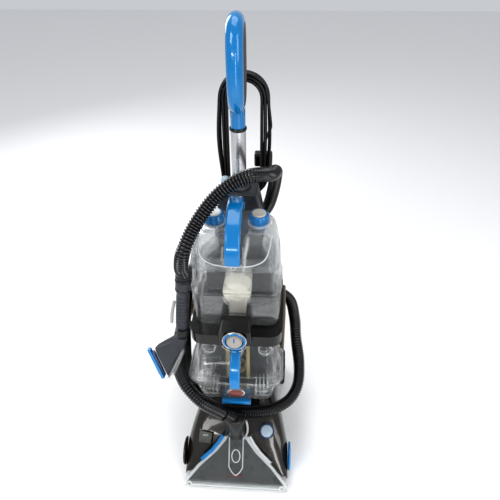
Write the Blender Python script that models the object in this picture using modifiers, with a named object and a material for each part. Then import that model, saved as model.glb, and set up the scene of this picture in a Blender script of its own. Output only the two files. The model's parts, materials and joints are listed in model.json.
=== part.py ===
"""Upright carpet cleaner with a hand tool on a stretch hose.  Metres, +Z up, front towards -Y.

The machine is modelled about its plane of symmetry, X = 0, with the floor at Z = 0.
Everything hangs from the empty machine_frame, which is moved at the end so that the
origin lies under the middle of the machine's own box.
"""

import math

import bmesh
import bpy
from mathutils import Matrix, Vector

# ---------------------------------------------------------------- driving sizes
GAP = 0.0003              # clearance between touching pieces
FIT = 0.0005              # running clearance of shafts and knobs

# base
SOLE_HALF_WIDTH = 0.112
SOLE_FRONT_Y = -0.130
SOLE_BACK_Y = 0.060
SOLE_THICKNESS = 0.008
CHEEK_INNER_X = 0.090
CHEEK_THICKNESS = 0.007
END_PLATE_X = 0.1195
END_PLATE_THICKNESS = 0.005
HOOD_HALF_WIDTH = 0.142
HOOD_HEIGHT = 0.180
HOOD_WALL = 0.003
HOOD_FOOT_Z = 0.012
SIDE_POWER = 0.42         # how square the hood's sides are
CROWN_POWER = 0.55        # how flat its crown is
BUTTON_PLACE = (0.080, -0.142)    # X, Y on the hood
BUTTON_RADIUS = 0.0165
PEDAL_PLACE = (-0.087, -0.160)    # X, Y on the hood
PEDAL_HALF_SIZE = (0.0185, 0.0155)
HOOD_BACK_Y = 0.030
NOZZLE_HALF_WIDTH = 0.1415
NOZZLE_FRONT_Y = -0.250
NOZZLE_TOP_Y = -0.165
NOZZLE_TOP_Z = 0.142
NOZZLE_FOOT_Z = 0.010
NOZZLE_DEPTH = 0.013
DUCT_HEIGHT = 0.007       # how far the middle duct stands off the nozzle's face
WHEEL_RADIUS = 0.055
WHEEL_WIDTH = 0.030
WHEEL_Y = 0.130
AXLE_RADIUS = 0.005
BRUSH_RADIUS = 0.024
BRUSH_AXIS = (-0.165, 0.034)      # Y, Z
BRUSH_HALF_LENGTH = 0.100
BRUSH_PULLEY_RADIUS = 0.015
MOTOR_AXIS = (-0.070, 0.075)      # Y, Z
MOTOR_RADIUS = 0.026
MOTOR_PULLEY_RADIUS = 0.009
BELT_THICKNESS = 0.002
BELT_WIDTH = 0.008
BELT_X = 0.112

# upright
PIVOT = (0.080, 0.090)            # Y, Z of the recline axis
PIVOT_SHAFT_RADIUS = 0.008
NECK_HALF_WIDTH = 0.085
NECK_RADIUS = 0.040
CASE_HALF_WIDTH = 0.110
CASE_FRONT_Y = -0.015
CASE_BACK_Y = 0.130
CASE_BOTTOM_Z = 0.200
CASE_TOP_Z = 0.455
CASE_WALL = 0.004
RAIL_WIDTH = 0.009
SHELF_THICKNESS = 0.009
SPINE_OUTLINE = ((0.4648, 0.090), (0.560, 0.090), (0.600, 0.060), (0.670, 0.058), (0.752, 0.042))   # z, half width
SPINE_FRONT_Y = 0.0585
SPINE_TOP_Z = SPINE_OUTLINE[-1][0]
POLE_Y = 0.100
POLE_RADIUS = 0.0165
POLE_BOTTOM_Z = 0.620
POLE_TOP_Z = 0.894
TANK_WALL = 0.0025
DIRTY_TANK_BOTTOM_Z = 0.238
DIRTY_TANK_TOP_Z = 0.452
LATCH_HALF_WIDTH = 0.038
LATCH_FRONT_Y = -0.143
LATCH_DEPTH = 0.013
CLEAN_TANK_TOP_Z = 0.722
CAP_X = 0.050
CAP_Y = 0.010
CAP_RADIUS = 0.0205
CAP_HEIGHT = 0.018
DIAL_RADIUS = 0.021
HANDLE_TOP_Z = 1.120
HANDLE_BOTTOM_Z = 0.930
HANDLE_ARM_RADIUS = 0.0175
HANDLE_HALF_DEPTH = 0.040
TRIGGER_Z = 1.035

# hose, hand tool and cord
HOSE_RADIUS = 0.016
HOSE_STUB_RADIUS = 0.0175    # the connector's side outlet
CONNECTOR_Y = -0.168
CONNECTOR_LOW_Z = 0.154
CONNECTOR_RADIUS = 0.024
WAND_TOP = Vector((-0.1160, -0.0680, 0.6120))
WAND_LOW = Vector((-0.1310, -0.0900, 0.4480))
TOOL_LIP = Vector((-0.1850, -0.1120, 0.3620))
WAND_RADIUS = 0.0152
CORD_RADIUS = 0.0035
WINDING_BACK_Y = 0.182
WINDING_DEPTH = 0.020
WINDING_BAND = 0.014
WINDING_X = 0.008
WINDING_HALF_WIDTH = 0.050
WINDING_TOP_Z = 0.985
WINDING_BOTTOM_Z = 0.690
UPPER_HOOK_Z = 0.955
LOWER_HOOK_Z = 0.722
GLAND = (-0.045, 0.1318, 0.655)    # where the mains cord leaves the back cover
LOOSE_NODES = ("stretch_hose", "strain_relief", "cord_lead", "cord_winding", "cord_tail", "mains_plug")

CASE_BOLT = 0.0005        # how far a cover stands off its case
SHELF_TOP_Z = CASE_TOP_Z + GAP + SHELF_THICKNESS
CLEAN_TANK_BOTTOM_Z = SHELF_TOP_Z + FIT

PARTS = None
CUTTERS = None


# ---------------------------------------------------------------- scene helpers
def start_scene():
    global PARTS, CUTTERS
    for obj in list(bpy.data.objects):
        bpy.data.objects.remove(obj, do_unlink=True)
    PARTS = bpy.data.collections.new("carpet_cleaner")
    CUTTERS = bpy.data.collections.new("cutters")
    bpy.context.scene.collection.children.link(PARTS)
    bpy.context.scene.collection.children.link(CUTTERS)


def material(name, colour, roughness=0.4, metallic=0.0, transmission=0.0):
    found = bpy.data.materials.get(name)
    if found:
        return found
    made = bpy.data.materials.new(name)
    made.use_nodes = True
    shader = made.node_tree.nodes["Principled BSDF"]
    shader.inputs["Base Color"].default_value = (*colour, 1.0)
    shader.inputs["Roughness"].default_value = roughness
    shader.inputs["Metallic"].default_value = metallic
    shader.inputs["Transmission Weight"].default_value = transmission
    made.diffuse_color = (*colour, 1.0)
    return made


def blue():
    return material("glossy_blue", (0.0, 0.205, 0.578), 0.22)


def bronze():
    return material("dark_bronze", (0.060, 0.052, 0.042), 0.25)


def slate():
    return material("slate_plastic", (0.045, 0.050, 0.058), 0.45)


def black():
    return material("black_plastic", (0.012, 0.012, 0.013), 0.35)


def clear():
    return material("clear_plastic", (0.80, 0.82, 0.82), 0.08, 0.0, 0.9)


def grey():
    return material("light_grey_plastic", (0.42, 0.43, 0.43), 0.4)


def steel():
    return material("steel", (0.55, 0.55, 0.55), 0.3, 1.0)


def empty(name, place, parent=None):
    made = bpy.data.objects.new(name, None)
    made.empty_display_size = 0.03
    made.location = place
    PARTS.objects.link(made)
    if parent:
        hang(made, parent)
    return made


def hang(obj, parent):
    """Parents an object and keeps its place in the machine."""
    bpy.context.view_layer.update()
    obj.parent = parent
    obj.matrix_parent_inverse = parent.matrix_world.inverted()


def to_collection(obj, collection):
    for held in list(obj.users_collection):
        held.objects.unlink(obj)
    collection.objects.link(obj)


def finish(obj, name, mat, parent, origin=None, smooth=30.0):
    """Names a part, gives it its material and hangs it in the tree."""
    obj.name = name
    obj.data.name = name
    obj.data.materials.clear()
    obj.data.materials.append(mat)
    to_collection(obj, PARTS)
    if origin is not None:
        bpy.context.view_layer.update()
        shift = obj.matrix_world.inverted() @ Vector(origin)
        obj.data.transform(Matrix.Translation(-shift))
        obj.matrix_world = obj.matrix_world @ Matrix.Translation(shift)
    if obj.type == "MESH" and smooth:
        obj.data.shade_smooth()
        obj.data.set_sharp_from_angle(angle=math.radians(smooth))
    hang(obj, parent)
    hang_cutters(obj, parent)
    return obj


def hang_cutters(obj, parent):
    """Hangs the pieces that shape an object beside it, so that they move with it."""
    for step in obj.modifiers:
        if step.type == "BOOLEAN":
            hang(step.object, parent)
            hang_cutters(step.object, parent)


def as_cutter(obj):
    to_collection(obj, CUTTERS)
    obj.hide_render = True
    obj.display_type = "WIRE"
    return obj


def combine(obj, other, operation):
    as_cutter(other)
    step = obj.modifiers.new(operation.lower(), "BOOLEAN")
    step.operation = operation
    step.solver = "EXACT"
    step.object = other
    return obj


def cut(obj, *cutters):
    for cutter in cutters:
        combine(obj, cutter, "DIFFERENCE")
    return obj


def join(obj, *others):
    for other in others:
        combine(obj, other, "UNION")
    return obj


def bevel(obj, width, segments=2):
    step = obj.modifiers.new("bevel", "BEVEL")
    step.width = width
    step.segments = segments
    step.limit_method = "ANGLE"
    step.angle_limit = math.radians(40)
    return obj


# ---------------------------------------------------------------- shapes
def mesh_object(name, shape):
    data = bpy.data.meshes.new(name)
    bmesh.ops.recalc_face_normals(shape, faces=shape.faces)
    shape.to_mesh(data)
    shape.free()
    made = bpy.data.objects.new(name, data)
    PARTS.objects.link(made)
    return made


def box(x, y, z, edge=0.0, tilt=0.0):
    """A box between the pairs x, y and z, turned by tilt radians about its middle's X axis."""
    middle = [(pair[0] + pair[1]) / 2 for pair in (x, y, z)]
    size = [abs(pair[1] - pair[0]) for pair in (x, y, z)]
    shape = bmesh.new()
    bmesh.ops.create_cube(shape, size=1.0)
    bmesh.ops.scale(shape, vec=size, verts=shape.verts)
    made = mesh_object("box", shape)
    made.location = middle
    made.rotation_euler = (tilt, 0.0, 0.0)
    if edge:
        bevel(made, edge)
    return made


def towards(direction):
    """The rotation that turns +Z to a direction."""
    return Vector(direction).to_track_quat("Z", "Y").to_euler()


def cylinder(radius, start, end, sides=32, edge=0.0, end_radius=None):
    """A cylinder, or a cone, whose axis runs from start to end."""
    start, end = Vector(start), Vector(end)
    shape = bmesh.new()
    bmesh.ops.create_cone(shape, cap_ends=True, segments=sides, radius1=radius,
                          radius2=radius if end_radius is None else end_radius,
                          depth=(end - start).length)
    made = mesh_object("cylinder", shape)
    made.location = (start + end) / 2
    made.rotation_euler = towards(end - start)
    if edge:
        bevel(made, edge)
    return made


def turned(profile, place, direction=(0, 0, 1), sides=32):
    """A turned shape. Its profile is (radius, height) pairs, down the outer side."""
    shape = bmesh.new()
    rows = [shape.verts.new((radius, 0.0, height)) for radius, height in profile]
    for first, second in zip(rows, rows[1:] + rows[:1]):
        if first.co.x > 0 or second.co.x > 0:
            shape.edges.new((first, second))
    data = bpy.data.meshes.new("turned")
    shape.to_mesh(data)
    shape.free()
    made = bpy.data.objects.new("turned", data)
    PARTS.objects.link(made)
    step = made.modifiers.new("turn", "SCREW")
    step.steps = sides
    step.render_steps = sides
    step.use_merge_vertices = True
    step.merge_threshold = 0.00001
    made.location = place
    made.rotation_euler = towards(direction)
    return made


def ring(outer, inner, place, height, direction=(0, 0, 1), sides=32):
    """A plain washer that stands on place."""
    profile = [(inner, height), (outer, height), (outer, 0.0), (inner, 0.0)]
    return turned(profile, place, direction, sides)


def smooth_route(points, step):
    """Points at about equal steps along a smooth curve through a route's own points."""
    points = [Vector(p) for p in points]
    ends = [2 * points[0] - points[1]] + points + [2 * points[-1] - points[-2]]
    fine = []
    for a, b, c, d in zip(ends, ends[1:], ends[2:], ends[3:]):
        for k in range(24):
            t = k / 24
            fine.append(0.5 * (2 * b + (c - a) * t + (2 * a - 5 * b + 4 * c - d) * t * t
                               + (3 * b - a - 3 * c + d) * t ** 3))
    fine.append(points[-1])
    total = sum((q - p).length for p, q in zip(fine, fine[1:]))
    count = max(2, round(total / step))
    wanted = total / count
    kept, walked = [fine[0]], 0.0
    for p, q in zip(fine, fine[1:]):
        walked += (q - p).length
        if walked >= wanted * len(kept) - 1e-9 and len(kept) < count:
            kept.append(q)
    return kept + [fine[-1]]


def tube(points, radius, resolution=2):
    """A filled tube along points, as a curve with a bevel."""
    data = bpy.data.curves.new("tube", "CURVE")
    data.dimensions = "3D"
    data.bevel_depth = radius
    data.bevel_resolution = resolution
    data.use_fill_caps = True
    line = data.splines.new("POLY")
    line.points.add(len(points) - 1)
    for knot, place in zip(line.points, points):
        knot.co = (*place, 1.0)
    made = bpy.data.objects.new("tube", data)
    PARTS.objects.link(made)
    return made


def tube_mesh(points, radius, resolution=2):
    """A tube as a mesh, so that it can be cut or joined."""
    curve = tube(points, radius, resolution)
    bpy.context.view_layer.update()
    done = curve.evaluated_get(bpy.context.evaluated_depsgraph_get())
    data = bpy.data.meshes.new_from_object(done)
    shape = bmesh.new()
    shape.from_mesh(data)
    bmesh.ops.remove_doubles(shape, verts=shape.verts, dist=0.00001)
    bmesh.ops.recalc_face_normals(shape, faces=shape.faces)
    shape.to_mesh(data)
    shape.free()
    made = bpy.data.objects.new("tube", data)
    made.matrix_world = curve.matrix_world.copy()
    PARTS.objects.link(made)
    bpy.data.objects.remove(curve, do_unlink=True)
    return made


def rounded_section(z, front, back, half_width, radius, corner_steps=3):
    """A rounded rectangle at height z, as points anticlockwise from above."""
    radius = min(radius, half_width * 0.98, (back - front) * 0.49)
    corners = ((half_width, front, -90), (half_width, back, 0),
               (-half_width, back, 90), (-half_width, front, 180))
    points = []
    for x, y, start in corners:
        centre = (x - math.copysign(radius, x), y + radius if y == front else y - radius)
        for k in range(corner_steps + 1):
            angle = math.radians(start + 90 * k / corner_steps)
            points.append(Vector((centre[0] + radius * math.cos(angle),
                                  centre[1] + radius * math.sin(angle), z)))
    return points


def loft(sections, closed_ends=True, closed_rows=True):
    """A skin over rows of points that all have the same count."""
    shape = bmesh.new()
    rows = [[shape.verts.new(p) for p in section] for section in sections]
    count = len(rows[0])
    for low, high in zip(rows, rows[1:]):
        for k in range(count if closed_rows else count - 1):
            shape.faces.new((low[k], low[(k + 1) % count], high[(k + 1) % count], high[k]))
    if closed_ends:
        shape.faces.new(reversed(rows[0]))
        shape.faces.new(rows[-1])
    return mesh_object("loft", shape)


def shell(obj, wall):
    """Thickens a skin inwards."""
    step = obj.modifiers.new("wall", "SOLIDIFY")
    step.thickness = wall
    step.offset = -1.0
    step.use_even_offset = True
    return obj


def outline_plate(points, thickness, place=(0, 0, 0), rotation=(0, 0, 0), holes=()):
    """A flat plate of an outline in its own XY plane."""
    data = bpy.data.curves.new("plate", "CURVE")
    data.dimensions = "2D"
    data.fill_mode = "BOTH"
    data.extrude = thickness / 2
    for edge in (points, *holes):
        line = data.splines.new("POLY")
        line.points.add(len(edge) - 1)
        line.use_cyclic_u = True
        for knot, spot in zip(line.points, edge):
            knot.co = (spot[0], spot[1], 0.0, 1.0)
    made = bpy.data.objects.new("plate", data)
    made.location = place
    made.rotation_euler = rotation
    PARTS.objects.link(made)
    bpy.context.view_layer.update()
    done = made.evaluated_get(bpy.context.evaluated_depsgraph_get())
    flat = bpy.data.meshes.new_from_object(done)
    shape = bmesh.new()
    shape.from_mesh(flat)
    bmesh.ops.remove_doubles(shape, verts=shape.verts, dist=0.00001)
    bmesh.ops.recalc_face_normals(shape, faces=shape.faces)
    shape.to_mesh(flat)
    shape.free()
    solid = bpy.data.objects.new("plate", flat)
    solid.matrix_world = made.matrix_world.copy()
    PARTS.objects.link(solid)
    bpy.data.objects.remove(made, do_unlink=True)
    return solid


def racetrack(half_width, half_height, steps=10):
    """A closed outline with round ends, its long way along the second axis."""
    points = []
    straight = half_height - half_width
    for side, start in ((1, 0), (-1, 180)):
        for k in range(steps + 1):
            angle = math.radians(start + 180 * k / steps)
            points.append((half_width * math.cos(angle),
                           side * straight + half_width * math.sin(angle)))
    return points


def strip(path, half_width, thickness):
    """A flat handle strip that follows a path of (y, z) points, with rounded long edges."""
    path = [Vector((0.0, y, z)) for y, z in path]
    path = smooth_route(path, 0.012)
    rows = []
    for k, here in enumerate(path):
        along = (path[min(k + 1, len(path) - 1)] - path[max(k - 1, 0)]).normalized()
        out = Vector((1, 0, 0)).cross(along)
        row = []
        for u, v in ((1, 0.45), (0.8, 1), (-0.8, 1), (-1, 0.45), (-1, -0.45), (-0.8, -1),
                     (0.8, -1), (1, -0.45)):
            row.append(here + Vector((u * half_width, 0, 0)) + out * (v * thickness / 2))
        rows.append(row)
    return loft(rows)


# ---------------------------------------------------------------- base
def build_chassis(root):
    sole = box((-SOLE_HALF_WIDTH, SOLE_HALF_WIDTH), (SOLE_FRONT_Y, SOLE_BACK_Y), (0.0, SOLE_THICKNESS))
    plate_outer = END_PLATE_X + END_PLATE_THICKNESS
    beam_end = plate_outer - 0.002
    beam = box((-beam_end, beam_end), (SOLE_FRONT_Y - 0.002, SOLE_FRONT_Y + 0.018),
               (0.001, SOLE_THICKNESS + 0.003))
    join(sole, beam)
    for side in (-1, 1):
        join(sole, box((side * END_PLATE_X, side * plate_outer), (BRUSH_AXIS[0] - 0.020, SOLE_FRONT_Y + 0.015),
                       (0.002, BRUSH_AXIS[1] + 0.014)))
        join(sole, box((side * CHEEK_INNER_X, side * (CHEEK_INNER_X + CHEEK_THICKNESS)),
                       (SOLE_BACK_Y - 0.035, WHEEL_Y + 0.022), (0.003, PIVOT[1] + 0.030)))
    reach = plate_outer + 0.01
    for (y, z), radius in ((BRUSH_AXIS, 0.004), (PIVOT, PIVOT_SHAFT_RADIUS),
                           ((WHEEL_Y, WHEEL_RADIUS), AXLE_RADIUS)):
        cut(sole, cylinder(radius + GAP, (-reach, y, z), (reach, y, z), 24))
    finish(sole, "base_chassis", slate(), root)
    shaft_end = CHEEK_INNER_X + CHEEK_THICKNESS
    finish(cylinder(PIVOT_SHAFT_RADIUS, (-shaft_end, *PIVOT), (shaft_end, *PIVOT), 24),
           "pivot_shaft", steel(), root)


def build_wheels(root):
    inner_x = CHEEK_INNER_X + CHEEK_THICKNESS + 0.004
    outer_x = inner_x + WHEEL_WIDTH
    finish(cylinder(AXLE_RADIUS, (-outer_x - 0.003, WHEEL_Y, WHEEL_RADIUS),
                    (outer_x + 0.003, WHEEL_Y, WHEEL_RADIUS), 20), "rear_axle", steel(), root)
    bore = AXLE_RADIUS + GAP
    width = WHEEL_WIDTH
    profile = [(bore, width), (0.030, width), (0.034, width - 0.004), (0.044, width - 0.004),
               (0.048, width), (WHEEL_RADIUS - 0.003, width), (WHEEL_RADIUS, width - 0.004),
               (WHEEL_RADIUS, 0.004), (WHEEL_RADIUS - 0.003, 0.0), (bore, 0.0)]
    for side, name in ((-1, "left_wheel"), (1, "right_wheel")):
        place = (side * inner_x, WHEEL_Y, WHEEL_RADIUS)
        finish(turned(profile, place, (side, 0, 0), 28), name, black(), root)


def hood_height(y):
    """Height of the hood's crown at a place along the machine."""
    return HOOD_HEIGHT * (1.0 - math.exp(-((y + 0.2315) / 0.075) ** 1.15))


def hood_width(y):
    """Half-width of the hood, widest at the brush and narrower at the back."""
    return HOOD_HALF_WIDTH - 0.023 * min(1.0, max(0.0, (y + 0.150) / 0.11)) ** 1.2


def hood_section(y, steps=14):
    """A crowned arch over the base at y, from its right foot over to its left."""
    points = []
    height = hood_height(y) - HOOD_FOOT_Z
    for k in range(steps + 1):
        angle = math.pi * k / steps
        across = math.copysign(abs(math.cos(angle)) ** SIDE_POWER, math.cos(angle))
        up = abs(math.sin(angle)) ** CROWN_POWER
        points.append(Vector((across * hood_width(y), y, HOOD_FOOT_Z + height * up)))
    return points


def hood_surface(x, y):
    """The point of the hood over x, y."""
    cosine = (abs(x) / hood_width(y)) ** (1.0 / SIDE_POWER)
    up = math.sqrt(max(0.0, 1.0 - cosine * cosine)) ** CROWN_POWER
    return Vector((x, y, HOOD_FOOT_Z + (hood_height(y) - HOOD_FOOT_Z) * up))


def hood_frame(x, y):
    """A point on the hood and the direction out of it."""
    step = 0.004
    across = hood_surface(x + step, y) - hood_surface(x - step, y)
    back = hood_surface(x, y + step) - hood_surface(x, y - step)
    return hood_surface(x, y), across.cross(back).normalized()


def build_hood(root):
    stations = [-0.2150, -0.2050, -0.1900, -0.1700, -0.1450, -0.1150, -0.0800, -0.0400, HOOD_BACK_Y]
    hood = loft([hood_section(y) for y in stations], closed_ends=False, closed_rows=False)
    face_out(hood)
    shell(hood, HOOD_WALL)
    centre, out = hood_frame(*BUTTON_PLACE)
    cut(hood, cylinder(BUTTON_RADIUS + 0.0045, centre - out * 0.02, centre + out * 0.02, 32))
    centre, out = hood_frame(*PEDAL_PLACE)
    half_x, half_y = (size + 0.002 for size in PEDAL_HALF_SIZE)
    slot = box((-half_x, half_x), (-half_y, half_y), (-0.02, 0.02))
    slot.location = centre
    slot.rotation_euler = towards(out)
    cut(hood, slot)
    neck_room = NECK_HALF_WIDTH + 0.004
    cut(hood, box((-neck_room, neck_room), (PIVOT[0] - NECK_RADIUS - 0.022, HOOD_BACK_Y + 0.02),
                  (0.0, HOOD_HEIGHT + 0.02)))
    finish(hood, "base_hood", bronze(), root)


def face_out(obj):
    """Turns an open skin's faces upwards and outwards before it is thickened."""
    middle = Vector((0.0, -0.10, 0.0))
    wrong = sum(1 if face.normal.dot(face.center - middle) < 0 else -1 for face in obj.data.polygons)
    if wrong > 0:
        obj.data.flip_normals()


def build_foot_controls(root):
    centre, out = hood_frame(*BUTTON_PLACE)
    button = cylinder(BUTTON_RADIUS, centre - out * 0.010, centre + out * 0.008, 32, 0.0015)
    finish(button, "foot_button", material("pale_blue_grey", (0.36, 0.45, 0.52), 0.35), root,
           origin=centre)
    centre, out = hood_frame(*PEDAL_PLACE)
    half_x, half_y = PEDAL_HALF_SIZE
    pedal = box((-half_x, half_x), (-half_y, half_y), (-0.004, 0.004), 0.0015)
    pedal.location = centre
    pedal.rotation_euler = towards(out)
    hinge = centre + towards(out).to_matrix() @ Vector((0.0, half_y, 0.0))
    finish(pedal, "release_pedal", material("olive_grey", (0.07, 0.075, 0.06), 0.5), root,
           origin=hinge)


def nozzle_outline(margin=0.0):
    """Half-widths of the fan-shaped nozzle at places up its face."""
    return [(NOZZLE_HALF_WIDTH - margin, 0.0), (NOZZLE_HALF_WIDTH - margin, 0.09),
            (0.104 - margin, 0.40), (0.060 - margin, 0.68), (0.038 - margin, 0.87),
            (0.030 - margin, 1.0)]


def nozzle_frame():
    foot = Vector((0.0, NOZZLE_FRONT_Y, NOZZLE_FOOT_Z))
    top = Vector((0.0, NOZZLE_TOP_Y, NOZZLE_TOP_Z))
    length = (top - foot).length
    lean = math.atan2(top.z - foot.z, top.y - foot.y)
    return foot, top, length, lean


def build_nozzle(root):
    foot, top, length, lean = nozzle_frame()
    edge = [(w, a * length) for w, a in nozzle_outline()]
    outline = edge + [(-w, a) for w, a in reversed(edge)]
    cover = outline_plate(outline, NOZZLE_DEPTH, rotation=(lean, 0, 0))
    out = Vector((0, -math.sin(lean), math.cos(lean)))
    cover.location = foot - out * NOZZLE_DEPTH / 2
    edge = [(w, a * length) for w, a in nozzle_outline(0.006)]
    inner = [(w, a if a else -0.02) for w, a in edge] + [(-w, a if a else -0.02) for w, a in reversed(edge)]
    channel = outline_plate(inner, NOZZLE_DEPTH - 0.005, rotation=(lean, 0, 0))
    channel.location = foot - out * NOZZLE_DEPTH / 2
    cut(cover, channel)
    duct = box((-0.019, 0.019), (0.42 * length, 0.99 * length), (-0.003, DUCT_HEIGHT))
    bpy.context.view_layer.update()
    duct.matrix_world = Matrix.Translation(foot) @ Matrix.Rotation(lean, 4, "X") @ duct.matrix_world
    join(cover, duct)
    finish(cover, "nozzle_cover", clear(), root)
    port_low = Vector((0.0, CONNECTOR_Y, NOZZLE_TOP_Z + 0.004))
    finish(ring(0.021, 0.016, port_low, 0.006), "hose_port", black(), root)


def build_side_trims(root):
    for side, name in ((-1, "left_side_cover"), (1, "right_side_cover")):
        x = side * (HOOD_HALF_WIDTH + GAP)
        cover = cylinder(0.038, (x, -0.168, 0.046), (x + side * 0.0055, -0.168, 0.046), 32, 0.0018)
        finish(cover, name, blue(), root)


def build_brush_drive(root):
    y, z = BRUSH_AXIS
    half, r = BRUSH_HALF_LENGTH, BRUSH_RADIUS
    pulley_low, pulley_high = BELT_X - BELT_WIDTH / 2 - FIT, BELT_X + BELT_WIDTH / 2 + FIT
    stub = END_PLATE_X + END_PLATE_THICKNESS - 0.001
    profile = [(0.0, stub), (0.0037, stub), (0.0037, pulley_high), (BRUSH_PULLEY_RADIUS, pulley_high),
               (BRUSH_PULLEY_RADIUS, pulley_low - 0.002), (0.008, pulley_low - 0.002), (0.008, half),
               (r, half), (r, -half), (0.008, -half), (0.008, -END_PLATE_X + FIT),
               (0.0037, -END_PLATE_X + FIT), (0.0037, -stub), (0.0, -stub)]
    finish(turned(profile, (0, y, z), (1, 0, 0), 24), "brush_roller", blue(), root)
    my, mz = MOTOR_AXIS
    finish(cylinder(MOTOR_RADIUS, (-0.020, my, mz), (0.080, my, mz), 28, 0.002),
           "brush_motor", steel(), root)
    profile = [(0.0, pulley_high), (MOTOR_PULLEY_RADIUS, pulley_high),
               (MOTOR_PULLEY_RADIUS, pulley_low), (0.003, pulley_low), (0.003, 0.080 + FIT), (0.0, 0.080 + FIT)]
    finish(turned(profile, (0, my, mz), (1, 0, 0), 20), "motor_pulley", steel(), root)
    finish(belt(), "drive_belt", black(), root)


def belt():
    """A flat loop around the brush pulley and the motor pulley, just clear of both."""
    big, small = BRUSH_PULLEY_RADIUS + GAP, MOTOR_PULLEY_RADIUS + GAP
    run = Vector((MOTOR_AXIS[0] - BRUSH_AXIS[0], MOTOR_AXIS[1] - BRUSH_AXIS[1]))
    heading = math.atan2(run.y, run.x)
    wrap = math.acos((big - small) / run.length)

    def edge(extra):
        points = []
        for radius, centre, start, sweep in (
                (small + extra, run, heading - wrap, 2 * wrap),
                (big + extra, Vector((0, 0)), heading + wrap, 2 * math.pi - 2 * wrap)):
            for k in range(13):
                angle = start + sweep * k / 12
                points.append((centre.x + radius * math.cos(angle), centre.y + radius * math.sin(angle)))
        return points

    loop = outline_plate(edge(BELT_THICKNESS), BELT_WIDTH, holes=(edge(0.0003),))
    loop.matrix_world = Matrix.Translation((BELT_X, *BRUSH_AXIS)) @ Matrix(
        ((0, 0, 1, 0), (1, 0, 0, 0), (0, 1, 0, 0), (0, 0, 0, 1)))
    return loop


def build_spray_bar(root):
    x, y, z = 0.115, SOLE_FRONT_Y + 0.004, 0.050
    bar = cylinder(0.004, (-x, y, z), (x, y, z), 12)
    for side in (-1, 1):
        join(bar, cylinder(0.003, (side * 0.05, y, z), (side * 0.05, y - 0.006, z - 0.010), 10))
    finish(bar, "spray_bar", grey(), root)
    pump = box((-0.085, -0.035), (-0.095, -0.050), (0.012, 0.050), 0.004)
    finish(pump, "water_pump", black(), root)


# ---------------------------------------------------------------- upright body
def build_lower_case(upright):
    half, wall = CASE_HALF_WIDTH, CASE_WALL
    case = box((-half, half), (CASE_FRONT_Y, CASE_BACK_Y), (CASE_BOTTOM_Z, CASE_TOP_Z))
    cut(case, box((-half + wall, half - wall), (CASE_FRONT_Y + wall, CASE_BACK_Y + 0.02),
                  (CASE_BOTTOM_Z + wall, CASE_TOP_Z - wall)))
    y, z = PIVOT
    join(case, cylinder(NECK_RADIUS, (-NECK_HALF_WIDTH, y, z), (NECK_HALF_WIDTH, y, z), 32))
    join(case, box((-NECK_HALF_WIDTH, NECK_HALF_WIDTH), (y - 0.036, y + 0.026), (z + 0.004, CASE_BOTTOM_Z + 0.002)))
    reach = NECK_HALF_WIDTH + 0.02
    cut(case, cylinder(PIVOT_SHAFT_RADIUS + GAP, (-reach, y, z), (reach, y, z), 24))
    finish(case, "lower_case", slate(), upright)
    cover = box((-half, half), (CASE_BACK_Y + CASE_BOLT, CASE_BACK_Y + CASE_BOLT + 0.003),
                (CASE_BOTTOM_Z + 0.001, CASE_TOP_Z - 0.001), 0.001)
    finish(cover, "lower_back_cover", slate(), upright)
    for side, name in ((-1, "left_side_rail"), (1, "right_side_rail")):
        inner = side * (half + GAP)
        rail = box((inner, inner + side * RAIL_WIDTH), (CASE_FRONT_Y + 0.002, CASE_BACK_Y - 0.030),
                   (CASE_BOTTOM_Z + 0.002, CASE_TOP_Z - 0.006), 0.003)
        finish(rail, name, material("taupe_bronze", (0.16, 0.115, 0.075), 0.3), upright)
    cradle = box((-0.072, 0.072), (-0.098, CASE_FRONT_Y - FIT), (0.223, DIRTY_TANK_BOTTOM_Z - FIT - 0.0005), 0.002)
    finish(cradle, "tank_cradle", slate(), upright)


def build_suction(upright):
    x, y = 0.0, (CASE_FRONT_Y + CASE_BACK_Y) / 2
    motor_low, motor_high = CASE_BOTTOM_Z + 0.070, CASE_BOTTOM_Z + 0.160
    finish(cylinder(0.044, (x, y, motor_low), (x, y, motor_high), 32, 0.003),
           "suction_motor", steel(), upright)
    profile = [(0.0, 0.018), (0.048, 0.014), (0.048, 0.0), (0.006, 0.0), (0.006, -0.006), (0.0, -0.006)]
    finish(turned(profile, (x, y, motor_high + 0.0065 + FIT), (0, 0, 1), 32), "suction_fan", grey(), upright)


def build_shelf(upright):
    half = CASE_HALF_WIDTH + 0.001
    low, high = CASE_TOP_Z + GAP, SHELF_TOP_Z
    shelf = loft([rounded_section(z, -0.104, CASE_BACK_Y, half, 0.030, 4) for z in (low, high)])
    skirt = loft([rounded_section(z, -0.104, CASE_BACK_Y, half, 0.030, 4)
                  for z in (CASE_TOP_Z - 0.024, low + 0.002)])
    cut(skirt, loft([rounded_section(z, -0.100, CASE_BACK_Y + 0.01, half - 0.004, 0.028, 4)
                     for z in (CASE_TOP_Z - 0.03, low + 0.01)]))
    cut(skirt, box((-0.2, 0.2), (CASE_FRONT_Y - 0.010, 0.2), (CASE_TOP_Z - 0.04, low - GAP)))
    join(shelf, skirt)
    front = -0.121
    pod = loft([rounded_section(low + 0.001, front, -0.083, 0.040, 0.006),
                rounded_section(high + 0.030, front, -0.083, 0.038, 0.006),
                rounded_section(high + 0.048, front + 0.022, -0.083, 0.034, 0.006)])
    join(shelf, pod)
    centre, out = dial_frame()
    cut(shelf, cylinder(0.0130, centre - out * 0.014, centre + out * 0.03, 28))
    finish(shelf, "tank_shelf", black(), upright)
    profile = [(0.0, 0.014), (0.015, 0.014), (0.0185, 0.010), (DIAL_RADIUS - 0.001, 0.0),
               (0.0122, 0.0), (0.0122, -0.009), (0.0, -0.009)]
    dial = turned(profile, centre + out * (GAP * 2 + 0.0005), out, 32)
    finish(dial, "mode_dial", material("beige_grey", (0.40, 0.37, 0.33), 0.4), upright)


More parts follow.
